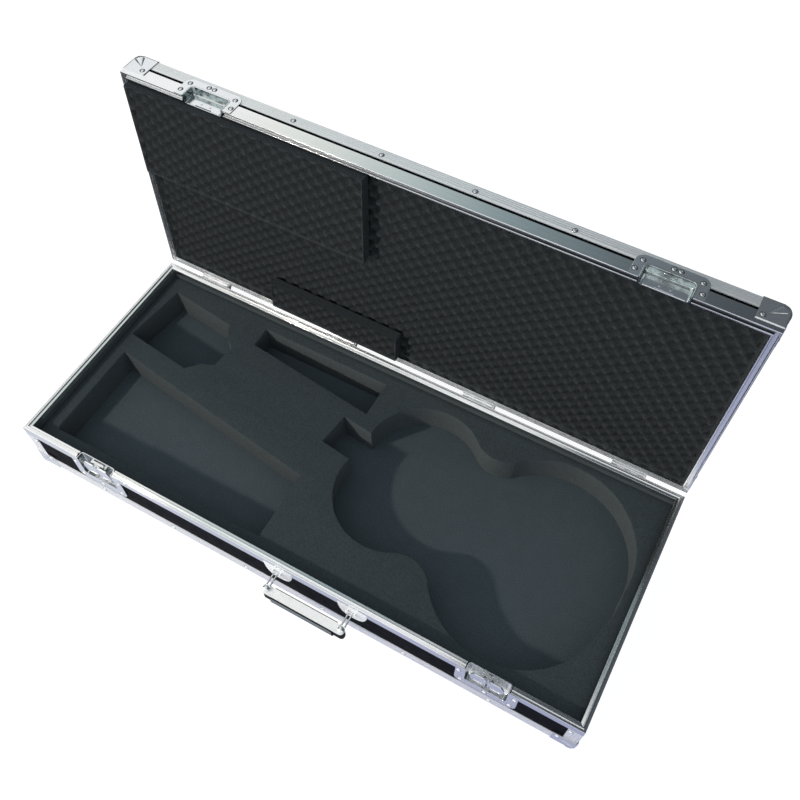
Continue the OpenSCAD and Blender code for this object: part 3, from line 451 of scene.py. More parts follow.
def lined_laminate():
    """The same laminate outside, and foam glued to the inner faces of the base's boards, so that
    a line of foam shows between the rim and the cut sheet."""
    def build(tree):
        place = node(tree, "ShaderNodeTexCoord").outputs["Object"]
        parts = node(tree, "ShaderNodeSeparateXYZ", {0: place})
        inside = []
        for axis, limit in (("X", HALF_LENGTH - LINING), ("Y", HALF_DEPTH - LINING)):
            away = node(tree, "ShaderNodeMath", {0: parts.outputs[axis]}, operation="ABSOLUTE")
            inside.append(node(tree, "ShaderNodeMath", {0: away, 1: limit * MM}, operation="LESS_THAN"))
        both = node(tree, "ShaderNodeMath", {0: inside[0], 1: inside[1]}, operation="MULTIPLY")
        # The lining takes the pocket walls' paler colour, with its painted light
        return node(tree, "ShaderNodeMixShader", {0: both, 1: laminate_nodes(tree),
                                                  2: foam_nodes(tree, colours().foam_wall, 0.3)})
    return material("black laminate with a foam lining", build)


def foam_nodes(tree, base, contrast):
    """Sliced foam: cells that catch the light one by one, and a slow cloud in its colour."""
    place = node(tree, "ShaderNodeTexCoord").outputs["Object"]
    cells = node(tree, "ShaderNodeTexVoronoi", {"Vector": place, "Scale": 620.0})
    grain = node(tree, "ShaderNodeTexNoise",
                 {"Vector": place, "Scale": 420.0, "Detail": 4.0, "Roughness": 0.65})
    cloud = node(tree, "ShaderNodeTexNoise",
                 {"Vector": place, "Scale": 38.0, "Detail": 4.0, "Roughness": 0.6})
    height = node(tree, "ShaderNodeMath", {0: cells, 1: grain}, operation="MULTIPLY")
    relief = node(tree, "ShaderNodeBump", {"Height": height, "Distance": 0.0009, "Strength": 0.7})
    fine = tinted(tree, grain, shade(base, 1 - contrast), shade(base, 1 + contrast), 0.36, 0.64)
    broad = tinted(tree, cloud, shade(base, 0.9), shade(base, 1.1), 0.35, 0.65)
    tint = node(tree, "ShaderNodeMix", {0: 0.35, 6: fine, 7: broad}, data_type="RGBA")
    return node(tree, "ShaderNodeBsdfPrincipled",
                {"Base Color": tint.outputs[2], "Roughness": 0.95, "Normal": relief,
                 "Specular IOR Level": 0.25})


def cut_foam():
    """Closed-cell polyethylene foam, sliced with a blade: matt, with open cells that speckle it.
    The cells are about 0.6 mm and drawn at 1.6 mm so that they show."""
    return material("sliced blue-grey polyethylene foam",
                    lambda tree: foam_nodes(tree, colours().foam_base, 0.34))


def pocket_wall_foam_painted_light():
    """The same foam where a knife cut the pockets, drawn paler as painted light, for the light that falls on
    the pocket walls.
    """
    return material("knife-cut blue-grey polyethylene foam, painted light",
                    lambda tree: foam_nodes(tree, colours().foam_wall, 0.34))


def floor_foam_partly_painted_light():
    """The same foam as a plain sheet with its pressed skin, lighter than the cut faces: partly its own paler
    colour, partly painted light that makes up for the shade at the bottom of the pockets.
    """
    return material("skinned blue-grey polyethylene foam, partly painted light",
                    lambda tree: foam_nodes(tree, colours().foam_floor, 0.3))


def profiled_foam():
    """Open-cell polyurethane foam, cut on a profiled roller: dull charcoal, its pores drawn
    at 1.2 mm, twice as coarse as they are, so that they show."""
    def build(tree):
        place = node(tree, "ShaderNodeTexCoord").outputs["Object"]
        pores = node(tree, "ShaderNodeTexVoronoi", {"Vector": place, "Scale": 820.0})
        grain = node(tree, "ShaderNodeTexNoise",
                     {"Vector": place, "Scale": 300.0, "Detail": 4.0, "Roughness": 0.6})
        relief = node(tree, "ShaderNodeBump", {"Height": pores, "Distance": 0.0008, "Strength": 0.6})
        base = colours().foam_lid
        tint = tinted(tree, grain, shade(base, 0.72), shade(base, 1.28), 0.36, 0.64)
        # The pits hold less light than the crests, and the attribute goes from 0 on a crest to 1 mm in a pit
        depth = node(tree, "ShaderNodeSeparateXYZ", {0: along_attribute(tree)})
        light = node(tree, "ShaderNodeMapRange",
                     {"Value": depth, "From Max": MM, "To Min": 1.12, "To Max": 0.5})
        deep = node(tree, "ShaderNodeMix", {0: 1.0, 6: tint, 7: light.outputs[0]},
                    data_type="RGBA", blend_type="MULTIPLY")
        return node(tree, "ShaderNodeBsdfPrincipled",
                    {"Base Color": deep.outputs[2], "Roughness": 0.95, "Normal": relief,
                     "Specular IOR Level": 0.2})
    return material("profiled charcoal polyurethane foam", build)


def moulded_rubber():
    """Black rubber, moulded in a blasted tool: a soft sheen with a fine grain of about 0.5 mm."""
    def build(tree):
        place = node(tree, "ShaderNodeTexCoord").outputs["Object"]
        grain = node(tree, "ShaderNodeTexNoise", {"Vector": place, "Scale": 1800.0, "Detail": 3.0})
        relief = node(tree, "ShaderNodeBump", {"Height": grain, "Distance": 0.0001, "Strength": 0.6})
        tint = tinted(tree, grain, colours().rubber, shade(colours().rubber, 1.6))
        rough = node(tree, "ShaderNodeMapRange",
                     {"Value": grain, "From Min": 0.3, "From Max": 0.7, "To Min": 0.38, "To Max": 0.55})
        return node(tree, "ShaderNodeBsdfPrincipled",
                    {"Base Color": tint, "Roughness": rough, "Normal": relief,
                     "Specular IOR Level": 0.04})
    return material("moulded black rubber", build)


def extruded_strip():
    """Grey PVC strip, extruded: semi-gloss, with faint lines along its length."""
    def build(tree):
        place = node(tree, "ShaderNodeTexCoord").outputs["Object"]
        stretched = node(tree, "ShaderNodeMapping", {"Vector": place, "Scale": (0.02, 1.0, 1.0)})
        lines = node(tree, "ShaderNodeTexNoise", {"Vector": stretched, "Scale": 2000.0, "Detail": 2.0})
        relief = node(tree, "ShaderNodeBump", {"Height": lines, "Distance": 0.00005})
        tint = tinted(tree, lines, shade(colours().strip, 0.9), colours().strip)
        return node(tree, "ShaderNodeBsdfPrincipled",
                    {"Base Color": tint, "Roughness": 0.35, "Normal": relief})
    return material("extruded grey strip", build)


SLOTS = {
    "laminated_board": black_laminate,
    "anodised_aluminium": anodised_aluminium,
    "bright_steel": plated_steel,
    "foam_base": cut_foam,
    "foam_lid": profiled_foam,
    "grip_rubber": moulded_rubber,
}


# Shapes

def rounded(corners, radius, steps=4):
    """A closed outline whose corners are rounded: near each corner C the line follows
    (1 - t)^2 A + 2 t (1 - t) C + t^2 B, with A and B a radius away along the two sides."""
    corners = np.asarray(corners, float)
    before = np.roll(corners, 1, 0) - corners
    after = np.roll(corners, -1, 0) - corners
    long_before = np.linalg.norm(before, axis=1, keepdims=True)
    long_after = np.linalg.norm(after, axis=1, keepdims=True)
    radius = np.broadcast_to(radius, len(corners))[:, None]
    a = corners + before / long_before * np.minimum(radius, 0.45 * long_before)
    b = corners + after / long_after * np.minimum(radius, 0.45 * long_after)
    t = np.linspace(0, 1, steps + 1)[None, :, None]
    points = (1 - t) ** 2 * a[:, None] + 2 * t * (1 - t) * corners[:, None] + t**2 * b[:, None]
    return points.reshape(-1, 2)


def grid_faces(rows, columns, closed, start=0):
    """Quads between neighbouring points of a rows by columns grid, closed along its columns or not."""
    i, j = np.meshgrid(np.arange(rows - 1), np.arange(columns if closed else columns - 1), indexing="ij")
    k = (j + 1) % columns
    quads = np.stack([i * columns + j, i * columns + k, (i + 1) * columns + k, (i + 1) * columns + j], -1)
    return quads.reshape(-1, 4) + start


def tube_faces(rows, columns):
    """The faces of a closed tube of rows of points, with a flat face at each end."""
    faces = grid_faces(rows, columns, True).tolist()
    return faces + [list(range(columns)), list(range((rows - 1) * columns, rows * columns))[::-1]]


def signed_area(outline):
    """Twice the area of a closed outline, above 0 where it runs anticlockwise."""
    x, y = outline[:, 0], outline[:, 1]
    return (x * np.roll(y, -1) - np.roll(x, -1) * y).sum()


def per_face(made, what):
    """The center or the normal of each face of a piece."""
    values = np.empty(3 * len(made.data.polygons), np.float32)
    made.data.polygons.foreach_get(what, values)
    return values.reshape(-1, 3)


def second_finish(made, surface, chosen):
    """Gives the chosen faces of a piece a second material."""
    made.data.materials.append(surface())
    made.data.polygons.foreach_set("material_index", chosen.astype(np.int32))


class Shell:
    """Gathers the points and faces of one piece, and turns each closed part's faces outwards."""

    def __init__(self):
        self.points, self.faces, self.along, self.count = [], [], [], 0

    def add(self, points, faces, along=None, turn=True):
        """A closed part. The sum of the signed volumes of its faces' fans tells which way they face."""
        points = np.asarray(points, float)
        faces = [list(f) for f in faces]
        if turn:
            fans = np.array([(f[0], f[n], f[n + 1]) for f in faces for n in range(1, len(f) - 1)])
            a, b, c = (points[fans[:, n]] - points.mean(0) for n in range(3))
            if np.einsum("ij,ij->i", a, np.cross(b, c)).sum() < 0:
                faces = [f[::-1] for f in faces]
        self.faces += [[n + self.count for n in f] for f in faces]
        self.points.append(points)
        self.along.append(np.zeros_like(points) if along is None else np.asarray(along, float))
        self.count += len(points)

    def piece(self, name, body, slot, nodes, surface=None, sharp=35.0, weighted=True):
        """The finished object, in metres, with smooth faces that break past the sharp angle."""
        mesh = bpy.data.meshes.new(name)
        mesh.from_pydata((np.concatenate(self.points) * MM).tolist(), [], self.faces)
        run = mesh.attributes.new("along", "FLOAT_VECTOR", "POINT")
        run.data.foreach_set("vector", (np.concatenate(self.along) * MM).ravel())
        return dress(mesh, name, body, slot, nodes, surface, sharp, weighted)


def dress(mesh, name, body, slot, nodes, surface=None, sharp=35.0, weighted=True):
    """Links a mesh as a piece with its material (the slot's own unless a surface is given), shading and body,
    and hides the nodes that it stands for.
    """
    mesh.validate()
    mesh.materials.clear()
    mesh.materials.append((surface or SLOTS[slot])())
    mesh.shade_smooth()
    mesh.set_sharp_from_angle(angle=math.radians(sharp))
    made = bpy.data.objects.new(name, mesh)
    bpy.context.scene.collection.objects.link(made)
    if weighted:
        weigh = made.modifiers.new("Even faces", "WEIGHTED_NORMAL")
        weigh.keep_sharp = True
    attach(made, body)
    if nodes:
        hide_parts(*nodes)
    return made


def turned_with_lid(points, angle):
    """Points turned by an angle about the hinge line."""
    points = np.asarray(points, float)
    c, s = math.cos(angle), math.sin(angle)
    y, z = points[..., 1] - PIVOT_Y, points[..., 2] - PIVOT_Z
    return np.stack([points[..., 0], PIVOT_Y + y * c - z * s, PIVOT_Z + y * s + z * c], -1)


def opened(points):
    """Points drawn with the lid shut, turned to where they stand open."""
    return turned_with_lid(points, -LID_ANGLE)


def shut(points):
    """The other way round: open points turned to where they are with the lid shut."""
    return turned_with_lid(points, LID_ANGLE)


def on_side(side, s, a, z):
    """A point s along a side, a inwards from its outer face, at height z."""
    if side == "front":
        return np.stack([s, -HALF_DEPTH + a, z], -1)
    if side == "back":
        return np.stack([-s, HALF_DEPTH - a, z], -1)
    if side == "left":
        return np.stack([-HALF_LENGTH + a, -s, z], -1)
    return np.stack([HALF_LENGTH - a, s, z], -1)


def half_side(side):
    """Half the length of a side."""
    return HALF_LENGTH if side in ("front", "back") else HALF_DEPTH


def extrude(shell, outline, side, start, end, move=lambda p: p, stations=2, corner_z=0.0):
    """A closed outline (a, z) carried along a side: point = place(s, a, z), where s runs from
    start(a) to end(a), so that an end can be cut square or mitred. The attribute for the material
    holds s, a and the way from the outline's corner round its faces."""
    a, z = outline[:, 0], outline[:, 1]
    t = np.linspace(0, 1, stations)[:, None]
    s = start(a)[None, :] * (1 - t) + end(a)[None, :] * t
    a, z = np.broadcast_to(a, s.shape), np.broadcast_to(z, s.shape)
    points = move(on_side(side, s, a, z)).reshape(-1, 3)
    along = np.stack([s, a, a + np.abs(z - corner_z)], -1).reshape(-1, 3)
    shell.add(points, tube_faces(stations, len(outline)), along)


SIDES = ("front", "back", "left", "right")
CORNERS = ((-1, -1), (-1, 1), (1, -1), (1, 1))

# How far the rims' inner shelves slope down over their 4.5 mm, in millimetres: the front one hardly does
SHELF_SLOPE = {"front": 0.12, "back": 1.15, "left": 0.7, "right": 0.8}


def rim_stretches(side):
    """The stretches of a rim between its mitres and its cuts for the latches."""
    half = half_side(side)
    mitre_low, mitre_high = (lambda a: -(half - a)), (lambda a: half - a)
    if side != "front":
        return [(mitre_low, mitre_high)]

    cut = CUT_HALF + REVEAL

    def square(x):
        """An end cut square at x."""
        return lambda a: np.full_like(a, x)

    return [
        (mitre_low, square(-LATCH_X - cut)),
        (square(-LATCH_X + cut), square(LATCH_X - cut)),
        (square(LATCH_X + cut), mitre_high),
    ]


def base_rim_outline(slope):
    """The base rim: an outer leg, a hidden web over the board, an inner leg and the tongue. The
    shelf inside the tongue slopes down by a fraction of a millimetre towards the foam."""
    low, inner = RIM_Z - 20, RIM_Z - 12
    corners = [
        [0, low], [WALL, low], [WALL, RIM_Z - WALL], [WALL + BOARD, RIM_Z - WALL],
        [WALL + BOARD, inner], [RIM_WIDTH, inner], [RIM_WIDTH, RIM_Z - slope], [7.5, RIM_Z],
        [7.5, RIM_Z + TONGUE], [4, RIM_Z + TONGUE], [4, RIM_Z], [0, RIM_Z],
    ]
    r = sizes().edge_round / MM
    return rounded(corners, [r, 0.2, 0.2, 0.2, 0.2, r, r, 0.2, 1.2, 1.2, 0.2, 1.6 * r])


def lid_rim_outline():
    """The lid rim with its groove, drawn shut."""
    low = RIM_Z + RIM_GAP
    roof = low + GROOVE_DEPTH
    corners = [
        [0, low], [GROOVE_NEAR, low], [GROOVE_NEAR, roof], [GROOVE_FAR, roof], [GROOVE_FAR, low],
        [RIM_WIDTH, low],
        [RIM_WIDTH, RIM_Z + 16], [WALL + BOARD, RIM_Z + 16], [WALL + BOARD, RIM_Z + 6.1],
        [WALL, RIM_Z + 6.1], [WALL, RIM_Z + 23.7], [0, RIM_Z + 23.7],
    ]
    r = sizes().edge_round / MM
    return rounded(corners, [1.4 * r, 0.6, 0.5, 0.5, 0.6, 1.4 * r, r, 0.2, 0.2, 0.2, 0.2, r])


def ribbed(start, end, leg):
    """The run of one outer face from start to end of its leg, with round grooves at an even pitch:
    the depth is the groove's depth times cos^2, from -90 to 90 degrees over its width."""
    centres = np.arange(RIB_START, leg - 2.1 + 1e-6, RIB_PITCH)
    offsets = np.linspace(-RIB_HALF, RIB_HALF, 7)
    d = (centres[:, None] + offsets).ravel()
    depth = np.tile(RIB_DEPTH * np.cos(offsets / RIB_HALF * math.pi / 2) ** 2, len(centres))
    keep = (d > start) & (d < end)
    return d[keep], depth[keep]


def corner_arc(radius):
    """The quarter turn at the outer corner of an angle, from one face to the other."""
    t = np.linspace(0, math.pi / 2, 6)
    return np.stack([radius - radius * np.cos(t), radius - radius * np.sin(t)], -1)


def inner_line(leg, radius, steps):
    """The rest of an angle's outline: the two ends of its legs and its inner faces."""
    return rounded([[leg, 0], [leg, WALL], [WALL, WALL], [WALL, leg], [0, leg]], radius, steps)


def angle_outline(leg):
    """The L of an edge extrusion, grooved on both outer faces, its corner at a = 0, z = 0."""
    d, depth = ribbed(2.5, leg - 1, leg)
    outer_up = np.stack([depth, d], -1)[::-1]
    outer_flat = np.stack([d, depth], -1)
    inner = inner_line(leg, [1.2, 0.3, 0.5, 0.3, 1.2], 4)
    return np.concatenate([outer_up, corner_arc(2.0), outer_flat, inner])


def angle_ends(half):
    """The ends are cut back for the ball corners, and mitred past them."""
    return (lambda a: -(half - np.maximum(a, BALL_COVER))), (lambda a: half - np.maximum(a, BALL_COVER))


def dull_groove(made):
    """Gives the faces inside a lid rim's groove the dull finish with its painted shade. With the lid shut
    they lie between the groove's sides, and more than 0.9 mm above the rim's lower edge."""
    centre = shut(per_face(made, "center").astype(float) / MM)
    inwards = np.minimum(HALF_LENGTH - np.abs(centre[:, 0]), HALF_DEPTH - np.abs(centre[:, 1]))
    depth = centre[:, 2] - RIM_Z - RIM_GAP
    between = (inwards > GROOVE_NEAR - 0.1) & (inwards < GROOVE_FAR + 0.1)
    second_finish(made, etched_groove_painted_shade, between & (depth > 0.9) & (depth < GROOVE_DEPTH + 0.7))


class CASE_OT_rims(bpy.types.Operator):
    """Builds the aluminium rims of the base and the lid, each profile carried along its side"""

    bl_idname = "case.rims"
    bl_label = "Rims"

    def execute(self, context):
        for side in SIDES:
            base, lid = Shell(), Shell()
            for start, end in rim_stretches(side):
                extrude(base, base_rim_outline(SHELF_SLOPE[side]), side, start, end)
                extrude(lid, lid_rim_outline(), side, start, end, opened)
            base.piece(f"base_rim_{side}", "base", "anodised_aluminium", [f"{side}_rim"], bright_aluminium)
            made = lid.piece(f"lid_rim_{side}", "lid", "anodised_aluminium", [f"lid_{side}_rim"],
                             bright_aluminium)
            if side == "front":
                dull_groove(made)
        return {"FINISHED"}


class CASE_OT_edges(bpy.types.Operator):
    """Builds the grooved edge extrusions and the upright corner extrusions"""

    bl_idname = "case.edges"
    bl_label = "Edge extrusions"

    def execute(self, context):
        for side in SIDES:
            start, end = angle_ends(half_side(side))
            base = Shell()
            extrude(base, angle_outline(BOTTOM_LEG), side, start, end)
            base.piece(f"bottom_extrusion_{side}", "base", "anodised_aluminium", [f"{side}_bottom_edge"])
            lid = Shell()
            outline = angle_outline(LID_LEG)
            outline[:, 1] = LID_TOP_Z - outline[:, 1]
            extrude(lid, outline, side, start, end, opened, corner_z=LID_TOP_Z)
            lid.piece(f"lid_extrusion_{side}", "lid", "anodised_aluminium", [f"lid_{side}_edge"])
        uprights = Shell()
        plan = np.concatenate([corner_arc(1.5), inner_line(UPRIGHT_LEG, 0.5, 3)])
        # Midway between two grooves for the material, which shows none on these
        plain = RIB_START - RIB_PITCH / 2
        for sx, sy in CORNERS:
            x = np.broadcast_to(sx * (HALF_LENGTH - plan[:, 0]), (2, len(plan)))
            y = np.broadcast_to(sy * (HALF_DEPTH - plan[:, 1]), (2, len(plan)))
            z = np.broadcast_to(np.array(UPRIGHT_Z)[:, None], x.shape)
            uprights.add(np.stack([x, y, z], -1).reshape(-1, 3), tube_faces(2, len(plan)),
                         np.stack([z, x, np.full_like(x, plain)], -1).reshape(-1, 3))
        uprights.piece("upright_extrusions", "base", "anodised_aluminium", ["corner_uprights"])
        return {"FINISHED"}


class CASE_OT_boards(bpy.types.Operator):
    """Gives the boards their laminate, and the base's side boards a lining on their inner faces"""

    bl_idname = "case.boards"
    bl_label = "Boards"

    def execute(self, context):
        for name in ("bottom", "lid_top", "lid_front", "lid_back", "lid_left", "lid_right"):
            paint(frame["nodes"][f"{name}_board"], black_laminate())
        for name in SIDES:
            paint(frame["nodes"][f"{name}_board"], lined_laminate())
        return {"FINISHED"}


def paint(obj, finish):
    """Gives every slot of an object one material."""
    for slot in obj.material_slots:
        slot.material = finish
    if not obj.material_slots:
        obj.data.materials.append(finish)


def refined(name, body, slot, nodes, width=None, surface=None, segments=2):
    """A CAD node's own shape with merged faces and edges rounded by a width in millimetres."""
    bm = bmesh.new()
    for n in nodes:
        bm.from_mesh(frame["nodes"][n].data)
    bmesh.ops.remove_doubles(bm, verts=bm.verts, dist=WELD)
    bmesh.ops.dissolve_limit(bm, angle_limit=math.radians(0.6), verts=bm.verts, edges=bm.edges)
    bmesh.ops.recalc_face_normals(bm, faces=bm.faces)
    mesh = bpy.data.meshes.new(name)
    bm.to_mesh(mesh)
    bm.free()
    made = dress(mesh, name, body, slot, nodes, surface, 32.0, weighted=False)
    soften = made.modifiers.new("Soft edges", "BEVEL")
    soften.width = sizes().steel_round if width is None else width * MM
    soften.segments = segments
    soften.limit_method = "ANGLE"
    soften.angle_limit = math.radians(40)
    soften.use_clamp_overlap = True
    weigh = made.modifiers.new("Even faces", "WEIGHTED_NORMAL")
    weigh.weight = 60
    return made


class CASE_OT_corners(bpy.types.Operator):
    """Builds the eight pressed ball corners and the ridges on their faces"""

    bl_idname = "case.corners"
    bl_label = "Ball corners"

    def execute(self, context):
        refined("ball_corners_base", "base", "bright_steel", ["base_ball_corners"], 0.4)
        refined("ball_corners_lid", "lid", "bright_steel", ["lid_ball_corners"], 0.4)
        for body, corner_z, up, move in (("base", 0.0, 1, lambda p: p), ("lid", LID_TOP_Z, -1, opened)):
            shell = Shell()
            points, faces = ridge()
            for sx, sy in CORNERS:
                corner = [sx * HALF_LENGTH, sy * HALF_DEPTH, corner_z]
                for axis in range(3):
                    # Columns of the ridge: along one edge, along the other, and out of the face
                    shell.add(move(np.roll(points, axis, 1) * [-sx, -sy, up] + corner), faces)
            shell.piece(f"corner_ridges_{body}", body, "bright_steel", [], sharp=60.0)
        return {"FINISHED"}


def ridge():
    """The pressed half cone that runs from the ball towards the rivet on one face of a corner: its half
    width is 8 (1 - t) + 0.5 and its height 2.5 (1 - t)^0.6 over the sheet, with 1 - |u|^3 of it left at the
    fraction u of the half width. It is drawn at a corner whose faces run along +x and +y, with the
    face's outside at -z, and starts at the ball's middle."""
    t = np.linspace(0.0, 1.0, 20)[:, None]
    u = np.linspace(-1, 1, 19)[None, :]
    way = 9.5 + t * 15.0
    side = (8.0 * (1 - t) + 0.5) * u / math.sqrt(2)
    z = -1.4 - 2.5 * (1 - t) ** 0.6 * (1 - np.abs(u) ** 3)
    x, y = way + side, way - side
    points = np.stack([x, y, z], -1)
    under = np.stack([x[:, ::-1], y[:, ::-1], np.full_like(x, -0.4)], -1)
    ring = np.concatenate([points, under], 1)
    return ring.reshape(-1, 3), tube_faces(*ring.shape[:2])


def islands(node_name):
    """The points of each separate lump of a CAD node, in millimetres."""
    bm = bmesh.new()
    bm.from_mesh(frame["nodes"][node_name].data)
    bmesh.ops.remove_doubles(bm, verts=bm.verts, dist=WELD)
    bm.verts.index_update()
    seen, lumps = set(), []
    for vertex in bm.verts:
        if vertex.index in seen:
            continue
        stack, lump = [vertex], []
        seen.add(vertex.index)
        while stack:
            v = stack.pop()
            lump.append(v.co[:])
            for e in v.link_edges:
                other = e.other_vert(v)
                if other.index not in seen:
                    seen.add(other.index)
                    stack.append(other)
        lumps.append(np.array(lump) / MM)
    bm.free()
    return lumps


def rivet_head(radius, height):
    """A blind rivet's head turned about its axis: r and h follow a domed line from the rim up to
    the lip of the middle hole, and down to the broken-off pin in it. The first band is the painted shadow
    round it."""
    r = np.array([1.24, 1.0, 1.0, 0.86, 0.6, 0.4, 0.32, 0.26, 0.0]) * radius
    h = np.array([0.02, 0.05, 0.16, 0.55, 0.9, 1.0, 0.97, 0.62, 0.7]) * height
    angle = np.linspace(0, 2 * math.pi, RIVET_SIDES, endpoint=False)
    x = r[:-1, None] * np.cos(angle)
    y = r[:-1, None] * np.sin(angle)
    z = np.broadcast_to(h[:-1, None], x.shape)
    points = np.concatenate([np.stack([x, y, z], -1).reshape(-1, 3), [[0, 0, h[-1]]]])
    rows = len(r) - 1
    faces = grid_faces(rows, RIVET_SIDES, True).tolist()
    last, tip = (rows - 1) * RIVET_SIDES, rows * RIVET_SIDES
    faces += [[last + i, last + (i + 1) % RIVET_SIDES, tip] for i in range(RIVET_SIDES)]
    faces.append(list(range(RIVET_SIDES)))
    return points, faces


def head_on(lump):
    """A rivet head in the place of a lump of the CAD model, with its foot where the lump's flat foot is."""
    low, high = lump.min(0), lump.max(0)
    middle, size = (low + high) / 2, high - low
    axis = int(size.argmin())
    # The flat foot of a head holds its widest points, so its side is the foot's
    wide = np.abs(np.delete(lump - middle, axis, 1)).max(1)
    foot = lump[wide > 0.98 * wide.max()][:, axis].mean()
    basis = np.zeros((3, 3))
    basis[axis, 2] = -1.0 if foot > middle[axis] else 1.0
    basis[(axis + 1) % 3, 0] = 1
    basis[(axis + 2) % 3, 1] = 1
    middle[axis] = foot
    points, faces = rivet_head(size.max() / 2, size[axis])
    return points @ basis.T + middle, faces


class CASE_OT_rivets(bpy.types.Operator):
    """Builds the rivet heads, one on each head of the CAD model and facing as it does"""

    bl_idname = "case.rivets"
    bl_label = "Rivets"

    def execute(self, context):
        for body, finish in (("base", satin_nickel), ("lid", plated_steel)):
            name = f"{body}_rivets"
            shell = Shell()
            for lump in islands(name):
                points, faces = head_on(shut(lump) if body == "lid" else lump)
                shell.add(opened(points) if body == "lid" else points, faces)
            made = shell.piece(f"rivet_heads_{body}", body, "bright_steel", [name], finish, sharp=60.0)
            # Each head has as many faces as the others, and the first ones are its band of painted shadow
            place = np.arange(len(made.data.polygons)) % len(faces)
            second_finish(made, rivet_painted_shadow, place < RIVET_SIDES)
        return {"FINISHED"}


# Foam

# The guitar's place and turn in the case, and its outline along u and across v from there: the bouts'
# middles and radii, the waist's radius, the butt's middle and radius, and the heel's notch
GUITAR = dict(x=-8.0, y=51.0, turn=math.radians(-7.3), upper=(112.4, 43.2, 106.4),
              lower=(367.8, 40.5, 152.2), waist=58.7, butt=(361.5, 162.5), heel=(-55.0, 32.0), start=6.0)
ACCESSORIES = np.array([[-502, -183], [-65, -183], [-65, -52], [-502, 11]], float)
LONG_SLOT = np.array([[-293, 145], [-26, 114], [-26, 187], [-293, 187]], float)
HEADSTOCK = np.array([[-504, -63], [-366, -63], [-347, -36], [-325, -24.5], [-325, 24.5],
                      [-347, 36], [-366, 63], [-504, 63]], float)


def by_the_guitar(points):
    """Points along and across the guitar, turned and moved into the case."""
    c, s = math.cos(GUITAR["turn"]), math.sin(GUITAR["turn"])
    u, v = points[:, 0], points[:, 1]
    return np.stack([GUITAR["x"] + u * c - v * s, GUITAR["y"] + u * s + v * c], -1)


def arc(centre, radius, start, end, step=1.5):
    """Points on an arc, about a step apart, from one angle to the other."""
    count = max(3, int(abs(end - start) * radius / step))
    t = np.linspace(start, end, count)
    return np.stack([centre[0] + radius * np.cos(t), centre[1] + radius * np.sin(t)], -1)


def crossing(c1, r1, c2, r2, side):
    """Where two circles cross: c1 + e s + n sqrt(r1^2 - s^2), on one side of the line of centres."""
    c1, c2 = np.array(c1, float), np.array(c2, float)
    d = np.linalg.norm(c2 - c1)
    e = (c2 - c1) / d
    s = (r1 * r1 - r2 * r2 + d * d) / (2 * d)
    n = np.array([-e[1], e[0]]) * side
    return c1 + e * s + n * math.sqrt(max(0.0, r1 * r1 - s * s))


def guitar_outline():
    """The guitar: the upper bout, the hollow of the waist, the lower bout and the round butt as
    arcs that meet where their circles cross; the other half is its mirror image; then the heel's notch."""
    g = GUITAR
    up_u, up_v, up_r = g["upper"]
    lo_u, lo_v, lo_r = g["lower"]
    butt_u, butt_r = g["butt"]
    waist_r = g["waist"]
    waist = crossing((up_u, up_v), up_r + waist_r - 0.3, (lo_u, lo_v), lo_r + waist_r - 0.3, 1)

    def near_joint(centre, radius):
        """Where a bout meets the waist: the crossing that lies nearer the guitar's middle line."""
        return min((crossing(centre, radius, waist, waist_r, side) for side in (1, -1)), key=lambda p: p[1])

    join_up = near_joint((up_u, up_v), up_r)
    join_lo = near_joint((lo_u, lo_v), lo_r)
    join_butt = crossing((lo_u, lo_v), lo_r, (butt_u, 0.0), butt_r, 1)
    if join_butt[1] < 0 or join_butt[0] < lo_u:
        join_butt = crossing((lo_u, lo_v), lo_r, (butt_u, 0.0), butt_r, -1)

    def angle(point, centre):
        """The direction of a point from a centre."""
        return math.atan2(point[1] - centre[1], point[0] - centre[0])

    upper = arc((up_u, up_v), up_r, math.pi, angle(join_up, (up_u, up_v)))
    a0, a1 = angle(join_up, waist), angle(join_lo, waist)
    if a1 < a0:
        a1 += 2 * math.pi
    hollow = arc(waist, waist_r, a0, a1)[1:-1]
    b0, b1 = angle(join_lo, (lo_u, lo_v)), angle(join_butt, (lo_u, lo_v))
    if b0 < b1:
        b0 += 2 * math.pi
    lower = arc((lo_u, lo_v), lo_r, b0, b1)
    butt = arc((butt_u, 0.0), butt_r, angle(join_butt, (butt_u, 0.0)), 0.0)[1:]
    half = np.concatenate([upper, hollow, lower, butt])
    mirror = half[::-1][1:] * [1, -1]
    heel_u, heel_v = g["heel"]
    notch = np.array([[g["start"], -heel_v], [heel_u, -heel_v], [heel_u, heel_v], [g["start"], heel_v]])
    return by_the_guitar(np.concatenate([half, mirror, notch]))


def spread(outline, step):
    """Extra points on long straight sides, so that no side is longer than a step."""
    parts = []
    for a, b in zip(outline, np.roll(outline, -1, 0)):
        count = max(1, int(np.ceil(np.linalg.norm(b - a) / step)))
        parts.append(a + (b - a) * (np.arange(count) / count)[:, None])
    return np.concatenate(parts)


def outward(outline):
    """Unit offsets of an outline's points away from its inside, lengthened at its corners so
    that both sides move by one: n = (n1 + n2) / (1 + n1 . n2)."""
    d = np.roll(outline, -1, 0) - outline
    n2 = np.stack([d[:, 1], -d[:, 0]], -1) / np.linalg.norm(d, axis=1, keepdims=True)
    n1 = np.roll(n2, 1, 0)
    n = (n1 + n2) / np.maximum(0.35, 1 + (n1 * n2).sum(1))[:, None]
    return n if signed_area(outline) > 0 else -n


def ripple(points, size, amount):
    """A smooth wander made of three sine waves of nearby lengths, so that a cut isn't dead straight."""
    x, y, z = points[..., 0], points[..., 1], points[..., 2]
    w = 2 * math.pi / size
    return amount / 3 * (np.sin(w * (x + 0.4 * z) + 0.6) + np.sin(w * 1.31 * (y - 0.3 * x) + 1.9)
                         + np.sin(w * 0.77 * (z + 0.8 * y) + 4.1))


